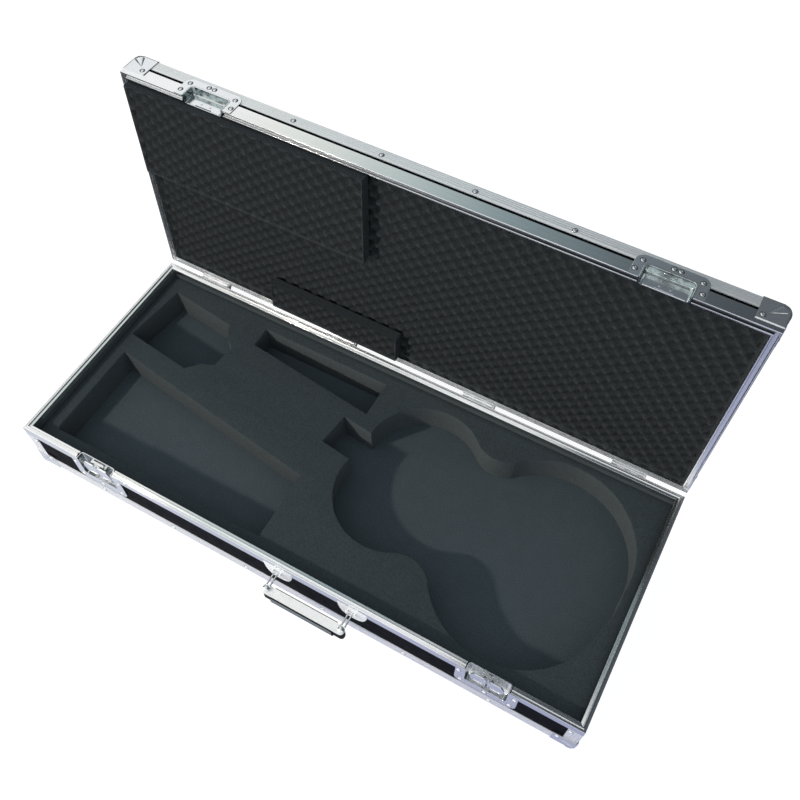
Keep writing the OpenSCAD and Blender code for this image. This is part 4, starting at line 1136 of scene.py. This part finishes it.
def foam_wall(outline, low, high, lip, into, rows=9):
    """The grid of a cut wall: straight up from low, then over a round lip into the top face.
    Offsets go by `into` times the outline's outward direction."""
    n = outward(outline) * into
    t = np.linspace(0, math.pi / 2, 6)
    z = np.concatenate([np.linspace(low, high - lip, rows)[:-1], high - lip + lip * np.sin(t)])
    off = np.concatenate([np.zeros(rows - 1), lip - lip * np.cos(t)])
    xy = outline[None] + n[None] * off[:, None, None]
    points = np.concatenate([xy, np.broadcast_to(z[:, None, None], xy.shape[:2] + (1,))], -1)
    wander = ripple(points, 23.0, 0.35) * np.clip((high - points[..., 2]) / lip, 0, 1)
    points[..., :2] += n[None] * wander[..., None]
    return points


def pocketed_foam(shell, outer, holes, low, high, lip):
    """A slab with through holes: walls as grids, and the two flat faces filled between them."""
    points, faces, tops, bottoms, count = [], [], [], [], 0
    for outline, into in [(outer, -1.0)] + [(h, 1.0) for h in holes]:
        grid = foam_wall(outline, low, high, lip if into > 0 else 0.8 * lip, into)
        rows, columns = grid.shape[:2]
        quads = grid_faces(rows, columns, True, count)
        if (signed_area(outline) < 0) != (into > 0):
            quads = quads[:, ::-1]
        faces += quads.tolist()
        points.append(grid.reshape(-1, 3))
        bottoms.append(np.arange(count, count + columns))
        tops.append(np.arange(count + (rows - 1) * columns, count + rows * columns))
        count += rows * columns
    points = np.concatenate(points)
    for rings, up in ((tops, True), (bottoms, False)):
        order = np.concatenate(rings)
        loops = [[(*points[i][:2], 0.0) for i in ring] for ring in rings]
        for tri in tessellate_polygon(loops):
            a, b, c = (points[order[i]][:2] for i in tri)
            turn = np.cross(b - a, c - a)
            if abs(turn) < 1e-9:
                continue
            face = [int(order[i]) for i in tri]
            faces.append(face if (turn > 0) == up else face[::-1])
    shell.add(points, faces, turn=False)


def insert_outline():
    """The base foam's outer outline, with its two notches for the latch dishes."""
    low, high = cad_box("foam_insert")
    x0, y0, x1, y1 = low[0], low[1], high[0], high[1]
    points = [[x0, y0]]
    for x in (-LATCH_X, LATCH_X):
        points += [[x - CUT_HALF, y0], [x - CUT_HALF, y0 + LATCH_NOTCH], [x + CUT_HALF, y0 + LATCH_NOTCH],
                   [x + CUT_HALF, y0]]
    points += [[x1, y0], [x1, y1], [x0, y1]]
    return np.array(points, float)


class CASE_OT_base_foam(bpy.types.Operator):
    """Builds the base foam: the sheet with the cut-outs and the floor sheet under it"""

    bl_idname = "case.base_foam"
    bl_label = "Base foam"

    def execute(self, context):
        low, high = cad_box("foam_insert")
        lip = sizes().foam_lip / MM
        holes = [guitar_outline(), spread(ACCESSORIES, 6), spread(LONG_SLOT, 6),
                 spread(by_the_guitar(HEADSTOCK), 6)]
        shell = Shell()
        pocketed_foam(shell, spread(insert_outline(), 12), holes, low[2], high[2], lip)
        made = shell.piece("foam_with_cut_outs", "base", "foam_base", ["foam_insert"], sharp=50.0,
                           weighted=False)
        # The pocket walls get the paler foam, painted light
        second_finish(made, pocket_wall_foam_painted_light, np.abs(per_face(made, "normal")[:, 2]) < 0.4)
        low, high = cad_box("foam_floor")
        made = cushion_sheet("foam_floor_sheet", low, high, 4.0, 0.35)
        return {"FINISHED"}


def slab_from_top(shell, x, y, top, bottom, move=lambda p: p, shade_by=None):
    """A closed slab between a top grid z = top(x, y) and a flat bottom grid. The attribute for the
    material holds shade_by on the top grid, and 0 elsewhere."""
    gx, gy = np.meshgrid(x, y, indexing="ij")
    rows, columns = gx.shape
    upper = np.stack([gx, gy, top], -1).reshape(-1, 3)
    ring = np.concatenate([
        np.arange(columns), np.arange(1, rows) * columns + columns - 1,
        (rows - 1) * columns + np.arange(columns - 2, -1, -1), np.arange(rows - 2, 0, -1) * columns,
    ])
    lower = upper[ring].copy()
    lower[:, 2] = bottom
    count = rows * columns
    faces = grid_faces(rows, columns, False).tolist()
    k = np.arange(len(ring))
    faces += np.stack([ring, count + k, count + (k + 1) % len(ring), np.roll(ring, -1)], -1).tolist()
    faces.append((count + k[::-1]).tolist())
    points = np.concatenate([upper, lower])
    a, b, c = (points[n] for n in faces[0][:3])
    if np.sign(np.cross(b - a, c - a)[2]) != np.sign(top.mean() - bottom):
        faces = [f[::-1] for f in faces]
    along = np.zeros_like(points)
    if shade_by is not None:
        along[:count, 0] = shade_by.ravel()
    shell.add(move(points), faces, along, turn=False)


def cushion_sheet(name, low, high, step, unevenness):
    """The floor's foam sheet, whose face wanders a little: z = high - unevenness (1 + waves) / 2."""
    x = np.linspace(low[0], high[0], int((high[0] - low[0]) / step))
    y = np.linspace(low[1], high[1], int((high[1] - low[1]) / step))
    gx, gy = np.meshgrid(x, y, indexing="ij")
    points = np.stack([gx, gy, np.zeros_like(gx)], -1)
    top = high[2] - unevenness * (0.5 + 0.5 * ripple(points, 61.0, 1.0))
    shell = Shell()
    slab_from_top(shell, x, y, top, low[2])
    return shell.piece(name, "base", "foam_base", ["foam_floor"], floor_foam_partly_painted_light, sharp=50.0, weighted=False)


# Rows of bumps on the lid foam: the two waves that make them, in cycles per millimetre
WAVE_ONE = np.array([-0.0365, 0.0303])
WAVE_TWO = np.array([0.0361, 0.0439])


def bumps(x, y):
    """The egg-crate face, from 0 in the pits to 1 on the crests: two crossed cosine waves, their
    second harmonic and their sum wave, clipped so that the crests are broad and the pits small."""
    one = 2 * math.pi * (WAVE_ONE[0] * x + WAVE_ONE[1] * y)
    two = 2 * math.pi * (WAVE_TWO[0] * x + WAVE_TWO[1] * y)
    height = np.cos(one) + 0.8 * np.cos(two) + 0.25 * np.cos(2 * one) + 0.3 * np.cos(one + two)
    height = (height + 1.4) / 3.6
    return np.clip(height, 0.0, 1.0)


def egg_crate(name, node_name, notches=()):
    """A lid foam piece drawn shut: z = face + depth (1 - bumps) fade, where fade goes smoothly from 0
    at 0.5 mm from the piece's edges to 1 at 4.5 mm, and a rolled edge of 1.2 mm and a slow wander of
    up to 0.5 mm are added. At the notches the sheet stays above the keeper dishes."""
    (x0, y0, z0), (x1, y1, z1) = cad_box_shut(node_name)
    step = 2.2
    x = np.linspace(x0, x1, int((x1 - x0) / step))
    y = np.linspace(y0, y1, int((y1 - y0) / step))
    gx, gy = np.meshgrid(x, y, indexing="ij")
    edge = np.minimum.reduce([gx - x0, x1 - gx, gy - y0, y1 - gy])
    roll = np.clip(edge / 2.0, 0, 1)
    depth = sizes().egg_depth / MM
    fade = np.clip((edge - 0.5) / 4.0, 0, 1)
    fade = fade * fade * (3 - 2 * fade)
    pit = fade * (1 - bumps(gx, gy))
    top = z0 + depth * pit + 1.2 * (1 - np.sqrt(1 - (1 - roll) ** 2))
    top = top + 0.5 * (0.5 + 0.5 * ripple(np.stack([gx, gy, np.zeros_like(gx)], -1), 97.0, 1.0))
    for n in notches:
        inside = (np.abs(gx - n) < CUT_HALF + REVEAL) & (gy < y0 + LATCH_NOTCH - 0.1)
        top = np.where(inside, np.maximum(top, RIM_Z + FOAM_OVER_KEEPER), top)
    shell = Shell()
    slab_from_top(shell, x, y, top, z1, opened, pit)
    made = shell.piece(name, "lid", "foam_lid", [node_name], sharp=60.0, weighted=False)
    return made


def cad_box_shut(node_name):
    """The lowest and highest corner of a lid node where it is with the lid shut, in millimetres."""
    mesh = frame["nodes"][node_name].data
    co = np.empty(len(mesh.vertices) * 3, np.float32)
    mesh.vertices.foreach_get("co", co)
    points = shut(co.reshape(-1, 3).astype(float) / MM)
    return points.min(0), points.max(0)


class CASE_OT_lid_foam(bpy.types.Operator):
    """Builds the lid's bumpy foam sheet and its two blocks"""

    bl_idname = "case.lid_foam"
    bl_label = "Lid foam"

    def execute(self, context):
        egg_crate("egg_crate_sheet", "lid_foam_sheet", notches=(-LATCH_X, LATCH_X))
        egg_crate("egg_crate_block_neck", "lid_block_neck")
        egg_crate("egg_crate_block_slot", "lid_block_slot")
        return {"FINISHED"}


def pressed_dish(flange, recess, middle, edge_z, up):
    """A dish pressed from 1.2 mm sheet. Each row of the grid is a U: down the left side, round a
    corner of radius r, along the bottom and up the right side, given by its half width a, its depth
    d and its distance w behind the case's front face. The rows run from the back wall's face over a
    round fillet, the side wall, a rolled bead and the flange to its edge, and back behind the sheet."""
    sheet, fillet, bead, deep = 1.2, 4.0, 0.5, 12.0
    (fa, fd, fr), (ra, rd, rr) = flange, recess
    t = np.linspace(0, math.pi / 2, 6)

    def turned(grow, r0, back, f):
        """The rows of the fillet between the back wall and the side wall, with its radius f."""
        return np.stack([ra + grow - f + f * np.sin(t), rd + grow - f + f * np.sin(t),
                         r0 - f + f * np.sin(t), back - f + f * np.cos(t)], -1)

    b = np.linspace(0, math.pi, 7)
    lip = np.stack([1.3 - 1.3 * np.cos(b), -sheet - bead * np.sin(b)], -1)
    ring = np.stack([ra + lip[:, 0], rd + lip[:, 0], rr + lip[:, 0], lip[:, 1]], -1)
    front = [turned(0.0, rr, deep, fillet), ring,
             [[fa - 0.35, fd - 0.35, fr - 0.35, -sheet], [fa, fd, fr, 0.35 - sheet], [fa, fd, fr, 0.0]]]
    behind = [[[ra + sheet, rd + sheet, rr + sheet, 0.0]],
              turned(sheet, rr + sheet, deep + sheet, fillet + sheet)[::-1]]
    rows = np.concatenate([np.asarray(part, float) for part in front + behind])
    a, d, r, w = (rows[:, n, None] for n in range(4))
    q = np.linspace(0, math.pi / 2, 9)
    k = np.linspace(0, 1, 4)[:-1]
    m = np.linspace(-1, 1, 5)[1:-1]
    straight, bottom = np.repeat(a, len(k), 1), np.repeat(d, len(m), 1)
    x = np.concatenate([-straight, -a + r - r * np.cos(q), (a - r) * m, a - r + r * np.sin(q), straight], 1)
    down, up_again = (d - r) * k, (d - r) * k[::-1]
    v = np.concatenate([down, d - r + r * np.sin(q), bottom, d - r + r * np.cos(q), up_again], 1)
    y = np.broadcast_to(w - HALF_DEPTH, x.shape)
    points = np.stack([middle + x, y, edge_z + up * v], -1).reshape(-1, 3)
    count, columns = x.shape
    faces = grid_faces(count, columns, False).tolist()
    left = np.arange(count) * columns
    faces += [list(range(columns)), list(range((count - 1) * columns, count * columns))[::-1],
              np.concatenate([left[::-1], left + columns - 1]).tolist()]
    return points, faces


def mount_dome(x):
    """The pressed face of a handle mount: half of a full oval |u / half|^2.5 + |v / drop|^2.5 = 1 that
    hangs from a straight edge on the rim's face, domed by 1.6 (1 - rho^3) mm at the fraction rho of the way
    from its middle to its edge."""
    q = np.linspace(0, math.pi, 37)
    curve = np.stack([MOUNT_HALF * np.sign(np.cos(q)) * np.abs(np.cos(q)) ** 0.8,
                      -MOUNT_DROP * np.sin(q) ** 0.8], -1)
    across = np.linspace(-MOUNT_HALF, MOUNT_HALF, 20)[1:-1]
    edge = np.concatenate([curve, np.stack([across, np.zeros_like(across)], -1)])
    middle = np.array([0.0, -19.0])
    rho = np.array([0.02, 0.2, 0.4, 0.6, 0.75, 0.87, 0.95, 1.0])[:, None, None]
    placed = middle + rho * (edge - middle)
    u, v = x + placed[..., 0], RIM_Z - MOUNT_BELOW_RIM + placed[..., 1]
    rho = rho[..., 0]
    out = np.broadcast_to(-HALF_DEPTH - 0.3 - 1.6 * (1 - rho**3), u.shape)
    front = np.stack([u, out, v], -1)
    back = front[-1:].copy()
    back[..., 1] = -HALF_DEPTH + 0.2
    grid = np.concatenate([front, back])
    return grid.reshape(-1, 3), tube_faces(*grid.shape[:2])


def block(low, high):
    """A plain bar between two opposite corners."""
    low, high = np.asarray(low, float), np.asarray(high, float)
    corners = np.array([[0, 0, 0], [1, 0, 0], [1, 1, 0], [0, 1, 0],
                        [0, 0, 1], [1, 0, 1], [1, 1, 1], [0, 1, 1]])
    faces = [[0, 3, 2, 1], [4, 5, 6, 7], [0, 1, 5, 4], [1, 2, 6, 5], [2, 3, 7, 6], [3, 0, 4, 7]]
    return low + corners * (high - low), faces


def shade_recess_walls(made, move, steepest, surface):
    """Gives the walls round a dish's recess a darker finish with painted shade: their faces lie 0.5 to 11 mm
    behind the case's front face. Only those count whose normals have at least the given share along the case."""
    behind = move(per_face(made, "center").astype(float) / MM)[:, 1] + HALF_DEPTH
    share = np.abs(per_face(made, "normal")[:, 0])
    second_finish(made, surface, (behind > 0.5) & (behind < 11.0) & (share >= steepest))


def wing_curl(x, s):
    """The curled edge of a latch wing: a round bead of radius 1.25 swept from the spindle's side along
    the wing's top edge, round the arc of radius 27.7 about the spindle and back along its bottom edge."""
    bead, reach, half = 1.25, 27.7, 15.7
    turn = math.asin((half - 3.0) / reach)
    a = np.linspace(turn, -turn, 17)
    arc_line = np.stack([reach * np.cos(a), reach * np.sin(a)], -1)
    start = np.array([[7.0, half], [13.0, half], [19.5, half], [21.6, half - 0.5], [23.4, half - 1.6]])
    path = np.concatenate([start, arc_line, start[::-1] * [1, -1]])
    along = np.gradient(path, axis=0)
    along /= np.linalg.norm(along, axis=1, keepdims=True)
    side = np.stack([-along[:, 1], along[:, 0]], -1)
    angle = np.linspace(0, 2 * math.pi, 10, endpoint=False)
    flat = path[:, None] + side[:, None] * (bead * np.cos(angle))[None, :, None]
    y = np.broadcast_to(WING_FRONT + bead + bead * np.sin(angle), flat.shape[:2])
    points = np.stack([x + s * flat[..., 0], y, SPINDLE_Z + flat[..., 1]], -1)
    return points.reshape(-1, 3), tube_faces(*points.shape[:2])


class CASE_OT_dishes(bpy.types.Operator):
    """Builds the pressed latch dishes in the base and the keeper dishes in the lid"""

    bl_idname = "case.dishes"
    bl_label = "Latch and keeper dishes"

    def execute(self, context):
        for side, x in (("left", -LATCH_X), ("right", LATCH_X)):
            latch = Shell()
            latch.add(*pressed_dish(LATCH_FLANGE, LATCH_RECESS, x, RIM_Z - RIM_GAP, -1))
            for s in (-1, 1):
                rail = x + s * RAIL_OUT
                latch.add(*block((rail - RAIL_HALF, -HALF_DEPTH + RAIL_Y[0], RAIL_Z[0]),
                                 (rail + RAIL_HALF, -HALF_DEPTH + RAIL_Y[1], RAIL_Z[1])))
            # The side walls of the latch recess get deeper painted shade
            shade_recess_walls(latch.piece(f"dish_{side}", "base", "bright_steel", [f"latch_dish_{side}"]),
                       lambda p: p, 0.5, deeper_shaded_recess_steel)
            keeper = Shell()
            points, faces = pressed_dish(KEEPER_FLANGE, KEEPER_RECESS, x, RIM_Z + RIM_GAP, 1)
            keeper.add(opened(points), faces)
            for s in (-1, 1):
                points, faces = rivet_head(*KEEPER_RIVET)
                points = np.stack([points[:, 0] + x + KEEPER_RIVET_OUT * s,
                                   points[:, 1] - HALF_DEPTH + KEEPER_RIVET_Y,
                                   RIM_Z + RIM_GAP + KEEPER_RECESS[1] - points[:, 2]], -1)
                keeper.add(opened(points), faces)
            # The keeper recess walls get the painted shade
            shade_recess_walls(keeper.piece(f"keeper_{side}", "lid", "bright_steel", [f"keeper_dish_{side}"]),
                       shut, 0.0, shaded_recess_steel)
        return {"FINISHED"}


class CASE_OT_hardware(bpy.types.Operator):
    """Builds the hinges, the moving parts of the latches, and the handle"""

    bl_idname = "case.hardware"
    bl_label = "Hinges, latches and handle"

    def execute(self, context):
        refined("hinge_leaves_base", "base", "bright_steel", ["hinge_base_leaves"], surface=drawn_steel)
        refined("hinge_leaves_lid", "lid", "bright_steel", ["hinge_lid_leaves"], surface=drawn_steel)
        refined("hinge_pin_rods", "base", "bright_steel", ["hinge_pins"], surface=drawn_steel)
        for side in ("left", "right"):
            refined(f"spindle_{side}_plates", f"spindle_{side}", "bright_steel", [f"latch_spindle_{side}"])
            refined(f"hook_{side}_plate", f"hook_{side}", "bright_steel", [f"latch_hook_{side}"])
            refined(f"catch_{side}", "lid", "bright_steel", [f"keeper_catch_{side}"])
            for wing in ("left", "right"):
                name = f"wing_{wing}_of_{side}"
                refined(f"{name}_plate", name, "bright_steel", [name], 0.4)
                curl = Shell()
                curl.add(*wing_curl(-LATCH_X if side == "left" else LATCH_X, -1 if wing == "left" else 1))
                curl.piece(f"{name}_curl", name, "bright_steel", [], sharp=60.0)
        refined("mount_plates", "base", "bright_steel", ["handle_mounts"], surface=satin_nickel)
        low, high = cad_box("handle_mounts")
        shell = Shell()
        for x in (low[0] + MOUNT_HALF, high[0] - MOUNT_HALF):
            shell.add(*mount_dome(x))
        shell.piece("mount_domes", "base", "bright_steel", [], satin_nickel, sharp=50.0)
        refined("arm_rods", "handle", "bright_steel", ["handle_arms"])
        refined("grip_metal", "handle", "anodised_aluminium", ["handle_grip"], 0.4, ribbed_aluminium)
        refined("grip_rubber_pad", "handle", "grip_rubber", ["handle_rubber"], 0.8, segments=3)
        refined("grip_strip", "handle", "grip_rubber", ["handle_trim"], surface=extruded_strip)
        return {"FINISHED"}


class CASE_OT_stage(bpy.types.Operator):
    """Sets up the floor, the lamps, the room light and the camera"""

    bl_idname = "case.stage"
    bl_label = "Stage"

    def execute(self, context):
        scene = context.scene
        scene.view_settings.view_transform = "Standard"
        room(scene)
        floor()
        overhead_card()
        softbox()
        floor_card()
        side_cards()
        key()
        camera(scene)
        return {"FINISHED"}


def white_rays(tree):
    """1 for camera, glossy and transmission rays, and 0 for the rays that light surfaces."""
    path = node(tree, "ShaderNodeLightPath")
    first = node(tree, "ShaderNodeMath", {0: path.outputs["Is Camera Ray"], 1: path.outputs["Is Glossy Ray"]},
                 operation="MAXIMUM")
    return node(tree, "ShaderNodeMath", {0: first, 1: path.outputs["Is Transmission Ray"]},
                operation="MAXIMUM")


def room(scene):
    """A plain even room: soft light on surfaces, and white where it is seen or mirrored."""
    scene.world = bpy.data.worlds.new("room")
    scene.world.use_nodes = True
    tree = scene.world.node_tree
    tree.nodes.clear()
    light = node(tree, "ShaderNodeBackground", {"Color": linear("#f3faff"), "Strength": sizes().ambient})
    seen = node(tree, "ShaderNodeBackground", {"Color": (1, 1, 1, 1), "Strength": 1.0})
    both = node(tree, "ShaderNodeMixShader", {0: white_rays(tree), 1: light, 2: seen})
    node(tree, "ShaderNodeOutputWorld", {"Surface": both})


# Heights of the stage's level sheets in metres. The ball corners stand 4 mm below the boards
FLOOR_Z = -0.0042
CLOTH_Z = -0.0041
FLOOR_CARD_Z = -0.0040
CARD_Z = 2.4


def level(x0, y0, x1, y1, z):
    """The corners of a level rectangle."""
    return [(x0, y0, z), (x1, y0, z), (x1, y1, z), (x0, y1, z)]


def sheet_mesh(name, corners):
    """One flat sheet of the stage, given by its corners in metres."""
    mesh = bpy.data.meshes.new(name)
    mesh.from_pydata(corners, [], [tuple(range(len(corners)))])
    made = bpy.data.objects.new(name, mesh)
    bpy.context.scene.collection.objects.link(made)
    return made


def floor():
    """A plain white floor that keeps a light shadow of the case."""
    made = sheet_mesh("floor", level(-9, -9, 9, 9, FLOOR_Z))

    def build(tree):
        matt = node(tree, "ShaderNodeBsdfDiffuse", {"Color": colours().floor})
        glow = node(tree, "ShaderNodeEmission", {"Color": (1, 1, 1, 1), "Strength": 0.86})
        dim = node(tree, "ShaderNodeBsdfDiffuse", {"Color": (0.3, 0.3, 0.3, 1)})
        both = node(tree, "ShaderNodeAddShader", {0: dim, 1: glow})
        return node(tree, "ShaderNodeMixShader", {0: white_rays(tree), 1: matt, 2: both})

    made.data.materials.append(material("plain white floor", build))


# The overhead card's tones: the place on the card in metres, from left to right, and its colour
CARD_TONES = ((-2.1, "#ffffff"), (-1.6, "#eff0ea"), (-1.1, "#c4cfcd"), (-0.5, "#86969a"),
              (0.1, "#5f696e"), (0.6, "#4a5055"))


def mirrored_only(made, name, tone):
    """Gives a card a glow in the colour that tone(tree) returns, and hides it from all but reflections."""
    made.data.materials.append(material(name, lambda tree: node(
        tree, "ShaderNodeEmission", {"Color": tone(tree), "Strength": 1.0})))
    for ray in ("camera", "diffuse", "transmission", "volume_scatter", "shadow"):
        setattr(made, f"visible_{ray}", False)


def overhead_card():
    """A studio card over the case that only reflections see: white at the left, charcoal at the right."""
    made = sheet_mesh("overhead_card", level(-2.1, -1.2, 3.2, 3.2, CARD_Z))
    start, end = CARD_TONES[0][0], CARD_TONES[-1][0]

    def tone(tree):
        """The card's tones laid along it."""
        place = node(tree, "ShaderNodeTexCoord").outputs["Object"]
        x = node(tree, "ShaderNodeSeparateXYZ", {0: place})
        along = node(tree, "ShaderNodeMapRange", {"Value": x, "From Min": start, "From Max": end})
        tones = node(tree, "ShaderNodeValToRGB", {0: along})
        ramp = tones.color_ramp
        while len(ramp.elements) < len(CARD_TONES):
            ramp.elements.new(1.0)
        for element, (where, colour) in zip(ramp.elements, CARD_TONES):
            element.position = (where - start) / (end - start)
            element.color = linear(colour)
        return tones

    mirrored_only(made, "studio card", tone)


def softbox():
    """A second, white card under the first, which the grip and the front rim mirror."""
    corners = [(-0.95, -1.2), (0.14, -1.2), (0.14, 0.66), (-0.34, 0.44), (-0.42, 0.36), (-0.95, 0.34)]
    made = sheet_mesh("softbox_card", [(x, y, CARD_Z - 0.02) for x, y in corners])
    mirrored_only(made, "softbox cloth", lambda tree: (1, 1, 1, 1))


def floor_card():
    """A pale lavender sheet before the case that its front mirrors, deeper in tone to the right, and a
    dark one round it that only slanted metal sees."""
    made = sheet_mesh("floor_card", level(-0.62, -1.5, 0.62, 0.25, FLOOR_CARD_Z))

    def tone(tree):
        """Lavender, deeper to the right."""
        place = node(tree, "ShaderNodeTexCoord").outputs["Object"]
        x = node(tree, "ShaderNodeSeparateXYZ", {0: place})
        return tinted(tree, x, colours().floor_card, colours().floor_card_far, -0.5, 0.45)

    mirrored_only(made, "lavender card", tone)
    made = sheet_mesh("floor_cloth", level(-3.2, -1.0, 3.2, 3.2, CLOTH_Z))
    mirrored_only(made, "dark floor cloth", lambda tree: colours().surround)


def side_cards():
    """Dark cloths behind and beside the case, which draw dark outlines on rounded metal."""
    for name, (x0, y0), (x1, y1), top in (("back_cloth", (-2.1, 3.2), (3.2, 3.2), CARD_Z),
                                          ("right_cloth", (3.2, 3.2), (3.2, -1.2), CARD_Z),
                                          ("left_cloth", (-2.3, 3.2), (-2.3, -0.6), 1.85)):
        made = sheet_mesh(name, [(x0, y0, 0.0), (x1, y1, 0.0), (x1, y1, top), (x0, y0, top)])
        mirrored_only(made, "dark cloth", lambda tree: colours().surround)


def key():
    """One lamp low at the front left, small enough to draw the edges of the shadows."""
    lamp = bpy.data.lights.new("key", "AREA")
    lamp.size = sizes().key_size
    lamp.energy = sizes().key_power
    lamp.color = linear("#fff0e0")[:3]
    # The same brightness at every distance, as from a large far lamp
    lamp.use_nodes = True
    tree = lamp.node_tree
    tree.nodes.clear()
    even = node(tree, "ShaderNodeLightFalloff", {"Strength": 1.0})
    light = node(tree, "ShaderNodeEmission", {"Strength": even.outputs["Constant"]})
    node(tree, "ShaderNodeOutputLight", {"Surface": light})
    made = bpy.data.objects.new("key", lamp)
    place = np.array([-763.0, -895.0, 716.0]) * MM
    target = np.array([50.0, 0.0, 100.0]) * MM
    made.matrix_world = aimed(place, target)
    bpy.context.scene.collection.objects.link(made)


def aimed(place, target):
    """A matrix at a place whose -Z axis points to a target."""
    back = place - target
    back = back / np.linalg.norm(back)
    right = np.cross([0, 0, 1], back)
    right = right / np.linalg.norm(right)
    up = np.cross(back, right)
    made = np.eye(4)
    made[:3, 0], made[:3, 1], made[:3, 2], made[:3, 3] = right, up, back, place
    return Matrix(made.tolist())


def camera(scene):
    """The photograph's view, worked out from the straight edges of the base rim."""
    lens = bpy.data.cameras.new("camera")
    lens.lens = 40.24
    lens.sensor_width = 36.0
    lens.sensor_fit = "HORIZONTAL"
    lens.shift_y = -0.00485
    lens.clip_start = 0.01
    made = bpy.data.objects.new("camera", lens)
    turn = np.eye(4)
    turn[:3, 0] = (0.87580, 0.48267, 0.00036)
    turn[:3, 1] = (-0.40837, 0.74059, 0.53363)
    turn[:3, 2] = (0.25730, -0.46750, 0.84572)
    turn[:3, 3] = (0.4365, -0.5993, 1.4933)
    made.matrix_world = Matrix(turn.tolist())
    scene.collection.objects.link(made)
    scene.camera = made


OPERATORS = (CASE_OT_stage, CASE_OT_boards, CASE_OT_rims, CASE_OT_edges, CASE_OT_corners, CASE_OT_rivets,
             CASE_OT_base_foam, CASE_OT_lid_foam, CASE_OT_dishes, CASE_OT_hardware)


class CASE_PT_panel(bpy.types.Panel):
    """Lists the case's pieces, sizes and colours in the sidebar"""

    bl_label = "Guitar case"
    bl_space_type = "VIEW_3D"
    bl_region_type = "UI"
    bl_category = "Guitar case"

    def draw(self, context):
        column = self.layout.column()
        for operator in OPERATORS:
            column.operator(operator.bl_idname)
        for group in (context.scene.case_sizes, context.scene.case_colours):
            for name in group.__annotations__:
                column.prop(group, name)


CLASSES = (CaseSizes, CaseColours, *OPERATORS, CASE_PT_panel)


def register():
    for cls in CLASSES:
        bpy.utils.register_class(cls)
    bpy.types.Scene.case_sizes = PointerProperty(type=CaseSizes)
    bpy.types.Scene.case_colours = PointerProperty(type=CaseColours)


def unregister():
    del bpy.types.Scene.case_colours
    del bpy.types.Scene.case_sizes
    for cls in reversed(CLASSES):
        bpy.utils.unregister_class(cls)


def main():
    """Builds every piece in order."""
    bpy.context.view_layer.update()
    register()
    for operator in OPERATORS:
        group, name = operator.bl_idname.split(".")
        getattr(getattr(bpy.ops, group), name)()
    bpy.context.view_layer.update()


if __name__ == "__main__":
    main()
